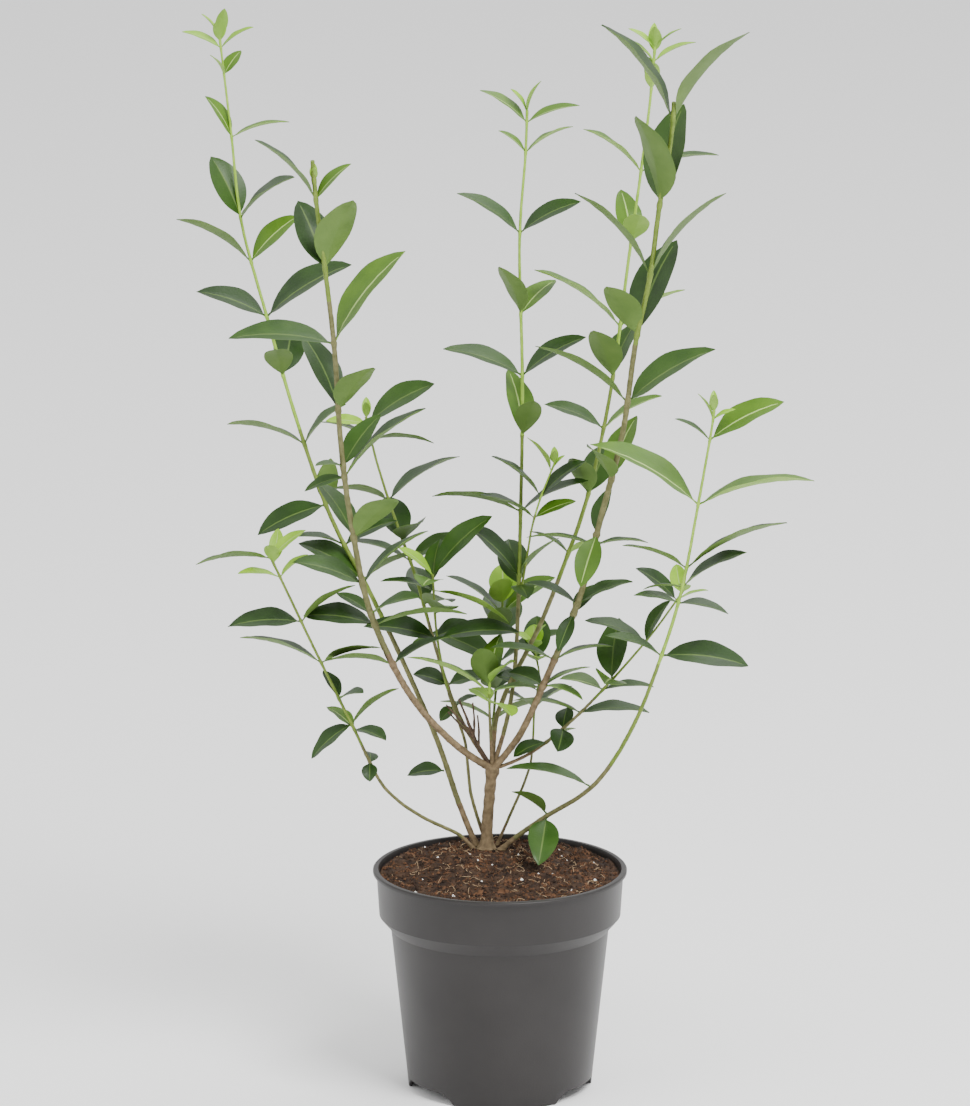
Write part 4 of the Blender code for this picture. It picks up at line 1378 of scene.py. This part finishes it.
# %% Soften and finish the pot
EDGE_WIDTH = 0.0005
EDGE_ANGLE = 32
SMOOTH_ANGLE = 30
bpy.ops.object.select_all(action="DESELECT")
pot.select_set(True)
bpy.context.view_layer.objects.active = pot
bevel = pot.modifiers.new("soft", "BEVEL")
bevel.width = EDGE_WIDTH
bevel.segments = 2
bevel.limit_method = "ANGLE"
bevel.angle_limit = math.radians(EDGE_ANGLE)
bpy.ops.object.modifier_apply(modifier="soft")
bpy.ops.object.shade_smooth_by_angle(angle=math.radians(SMOOTH_ANGLE))
pot.data.materials.clear()
pot.data.materials.append(POT_FINISH)
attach(pot, "root")
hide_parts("pot")
print("pot faces", len(pot.data.polygons))

# %% [markdown]
# The peat fills the pot to a little below the lip and rises to a low mound round the trunk.
# Noise in two sizes makes its surface lumpy, and the same height function is used again for
# what lies on it.

# %% The height of the soil
SOIL_EDGE_HEIGHT = 145.0
MOUND_RADIUS = 25.0
MOUND_CENTRE = (-8.0, 43.0)
SLOPE_RUN = 70.0
SLOPE_CURVE = 1.4
BRINK_FROM, BRINK_RUN, BRINK_SHARE = 60.0, 20.0, 0.8
LUMP_SIZE, LUMP_HEIGHT = 14, 2.0
GRAIN_SIZE, GRAIN_HEIGHT = 1.7, 0.7
SETTLED = 0.8


def soil_height(x, y):
    """The mound's smooth height, as the solid has it."""
    away = math.hypot(x - MOUND_CENTRE[0], y - MOUND_CENTRE[1])
    share = min(max((away - MOUND_RADIUS) / SLOPE_RUN, 0.0), 1.0)
    edge = max(0.0, math.hypot(x, y) - BRINK_FROM) / BRINK_RUN
    drop = max(share**SLOPE_CURVE, edge**2 * BRINK_SHARE)
    return MOUND_HEIGHT - (MOUND_HEIGHT - SOIL_EDGE_HEIGHT) * drop


def soil_relief(x, y):
    """The height of the crumbly surface."""
    coarse = noise.fractal(Vector((x / LUMP_SIZE, y / LUMP_SIZE, 3.1)), 0.6, 2.1, 5)
    fine = noise.noise(Vector((x / GRAIN_SIZE, y / GRAIN_SIZE, 8.0)))
    return soil_height(x, y) + LUMP_HEIGHT * coarse + GRAIN_HEIGHT * fine - SETTLED


print("soil at the middle", round(soil_relief(0, 0), 1), "mm")

# %% [markdown]
# The soil is one closed body: fine rings of corners over the surface, and three coarse rings
# that follow the pot's inner wall down to its floor. Redder patches follow a slow noise.

# %% The soil
SOIL_RINGS = 90
SOIL_SPOKES = 240
PATCH_SIZE = 9
PATCH_LEVEL = 0.30
edge_radius = inner_radius(SOIL_EDGE_HEIGHT) - GAP
floor_top = FLOOR_UNDERSIDE + FLOOR_THICKNESS + GAP
levels = (POT_HEIGHT - COLLAR_DEPTH, POT_HEIGHT - COLLAR_DEPTH - SHOULDER_DEPTH, floor_top)
turns = [math.tau * spoke / SOIL_SPOKES for spoke in range(SOIL_SPOKES)]
corners = [(0.0, 0.0, soil_relief(0, 0))]
for ring in range(1, SOIL_RINGS + 1):
    radius = edge_radius * ring / SOIL_RINGS
    for turn in turns:
        x, y = radius * math.cos(turn), radius * math.sin(turn)
        corners.append((x, y, soil_relief(x, y)))
for height in levels:
    radius = inner_radius(height) - GAP
    corners += [(radius * math.cos(turn), radius * math.sin(turn), height) for turn in turns]
corners.append((0.0, 0.0, floor_top))
faces = []
lowest = 1 + (SOIL_RINGS - 1 + len(levels)) * SOIL_SPOKES
for spoke in range(SOIL_SPOKES):
    after = (spoke + 1) % SOIL_SPOKES
    faces.append((0, 1 + spoke, 1 + after))
    for a in range(1, lowest, SOIL_SPOKES):
        b = a + SOIL_SPOKES
        faces.append((a + spoke, b + spoke, b + after, a + after))
    faces.append((lowest + after, lowest + spoke, len(corners) - 1))
finishes = []
for face in faces:
    x, y, _ = corners[face[0]]
    patch = noise.noise(Vector((x / PATCH_SIZE, y / PATCH_SIZE, 1.0)))
    finishes.append(PEAT_RED if patch > PATCH_LEVEL else PEAT)
soil_heap.add(corners, faces, finishes)
soil_heap.become("soil_body", SOIL_FINISHES, "peat", ["soil"])

# %% [markdown]
# Loose crumbs and a few white grains lie on the peat. Each is an octahedron of eight faces,
# stretched at random, which is enough at its size, and there are thousands of them.

# %% Crumbs and white grains
CRUMBS = 3400
GRAINS = 26
CRUMB_SIZES, GRAIN_SIZES = (0.5, 1.5), (0.8, 1.5)
STRETCH = (0.6, 1.2)
CRUMB_MARGIN = 2.5
CRUMB_LIFT = 0.2
RED_SHARE = 0.3
OCTA = ((1, 0, 0), (-1, 0, 0), (0, 1, 0), (0, -1, 0), (0, 0, 1), (0, 0, -1))
OCTA_FACES = ((0, 2, 4), (2, 1, 4), (1, 3, 4), (3, 0, 4), (2, 0, 5), (1, 2, 5), (3, 1, 5), (0, 3, 5))
strew = random.Random(SEED + 2)


def spot(limit):
    """A seeded place on the soil."""
    turn, radius = strew.uniform(0, math.tau), limit * math.sqrt(strew.random())
    return radius * math.cos(turn), radius * math.sin(turn)


for index in range(CRUMBS + GRAINS):
    x, y = spot(edge_radius - CRUMB_MARGIN)
    size = strew.uniform(*(CRUMB_SIZES if index < CRUMBS else GRAIN_SIZES))
    shape = [tuple(c * size * strew.uniform(*STRETCH) for c in corner) for corner in OCTA]
    z = soil_relief(x, y) + size * CRUMB_LIFT
    if index >= CRUMBS:
        kind = PERLITE
    else:
        kind = PEAT_RED if strew.random() < RED_SHARE else PEAT
    litter_heap.add([(x + a, y + b, z + c) for a, b, c in shape], OCTA_FACES, kind)
print("crumbs and grains", CRUMBS + GRAINS)

# %% [markdown]
# Tan fibres and fine roots curl over the surface. Each is a thin tube that wanders over the
# soil in short steps and lifts off it here and there. The litter stands for no solid.

# %% Fibres
FIBRES = 190
FIBRE_STEPS = (6, 12)
FIBRE_STEP = 1.5
FIBRE_RADII = (0.12, 0.26)
FIBRE_SIDES = 4
FIBRE_BEND, FIBRE_WANDER = 0.5, 0.3
FIBRE_LIFT, FIBRE_ARCH, ARCH_RATE = 0.5, 1.2, 0.8
FIBRE_MARGIN = 9
TAN_SHARE = 0.55
for index in range(FIBRES):
    x, y = spot(edge_radius - FIBRE_MARGIN)
    heading = strew.uniform(0, math.tau)
    bend = strew.uniform(-FIBRE_BEND, FIBRE_BEND)
    points = []
    for step in range(strew.randint(*FIBRE_STEPS)):
        arch = FIBRE_ARCH * math.sin(step * ARCH_RATE) * strew.random()
        points.append(Vector((x, y, soil_relief(x, y) + FIBRE_LIFT + arch)))
        x += FIBRE_STEP * math.cos(heading)
        y += FIBRE_STEP * math.sin(heading)
        heading += bend + strew.uniform(-FIBRE_WANDER, FIBRE_WANDER)
    points = [p for p in points if math.hypot(p.x, p.y) < edge_radius - 1]
    if len(points) > 3:
        radius = strew.uniform(*FIBRE_RADII)
        shape = tube(points, [radius] * len(points), FIBRE_SIDES)
        litter_heap.add(*shape, FIBRE if strew.random() < TAN_SHARE else PEAT_RED)
litter_heap.become("soil_litter", SOIL_FINISHES, "peat", [])
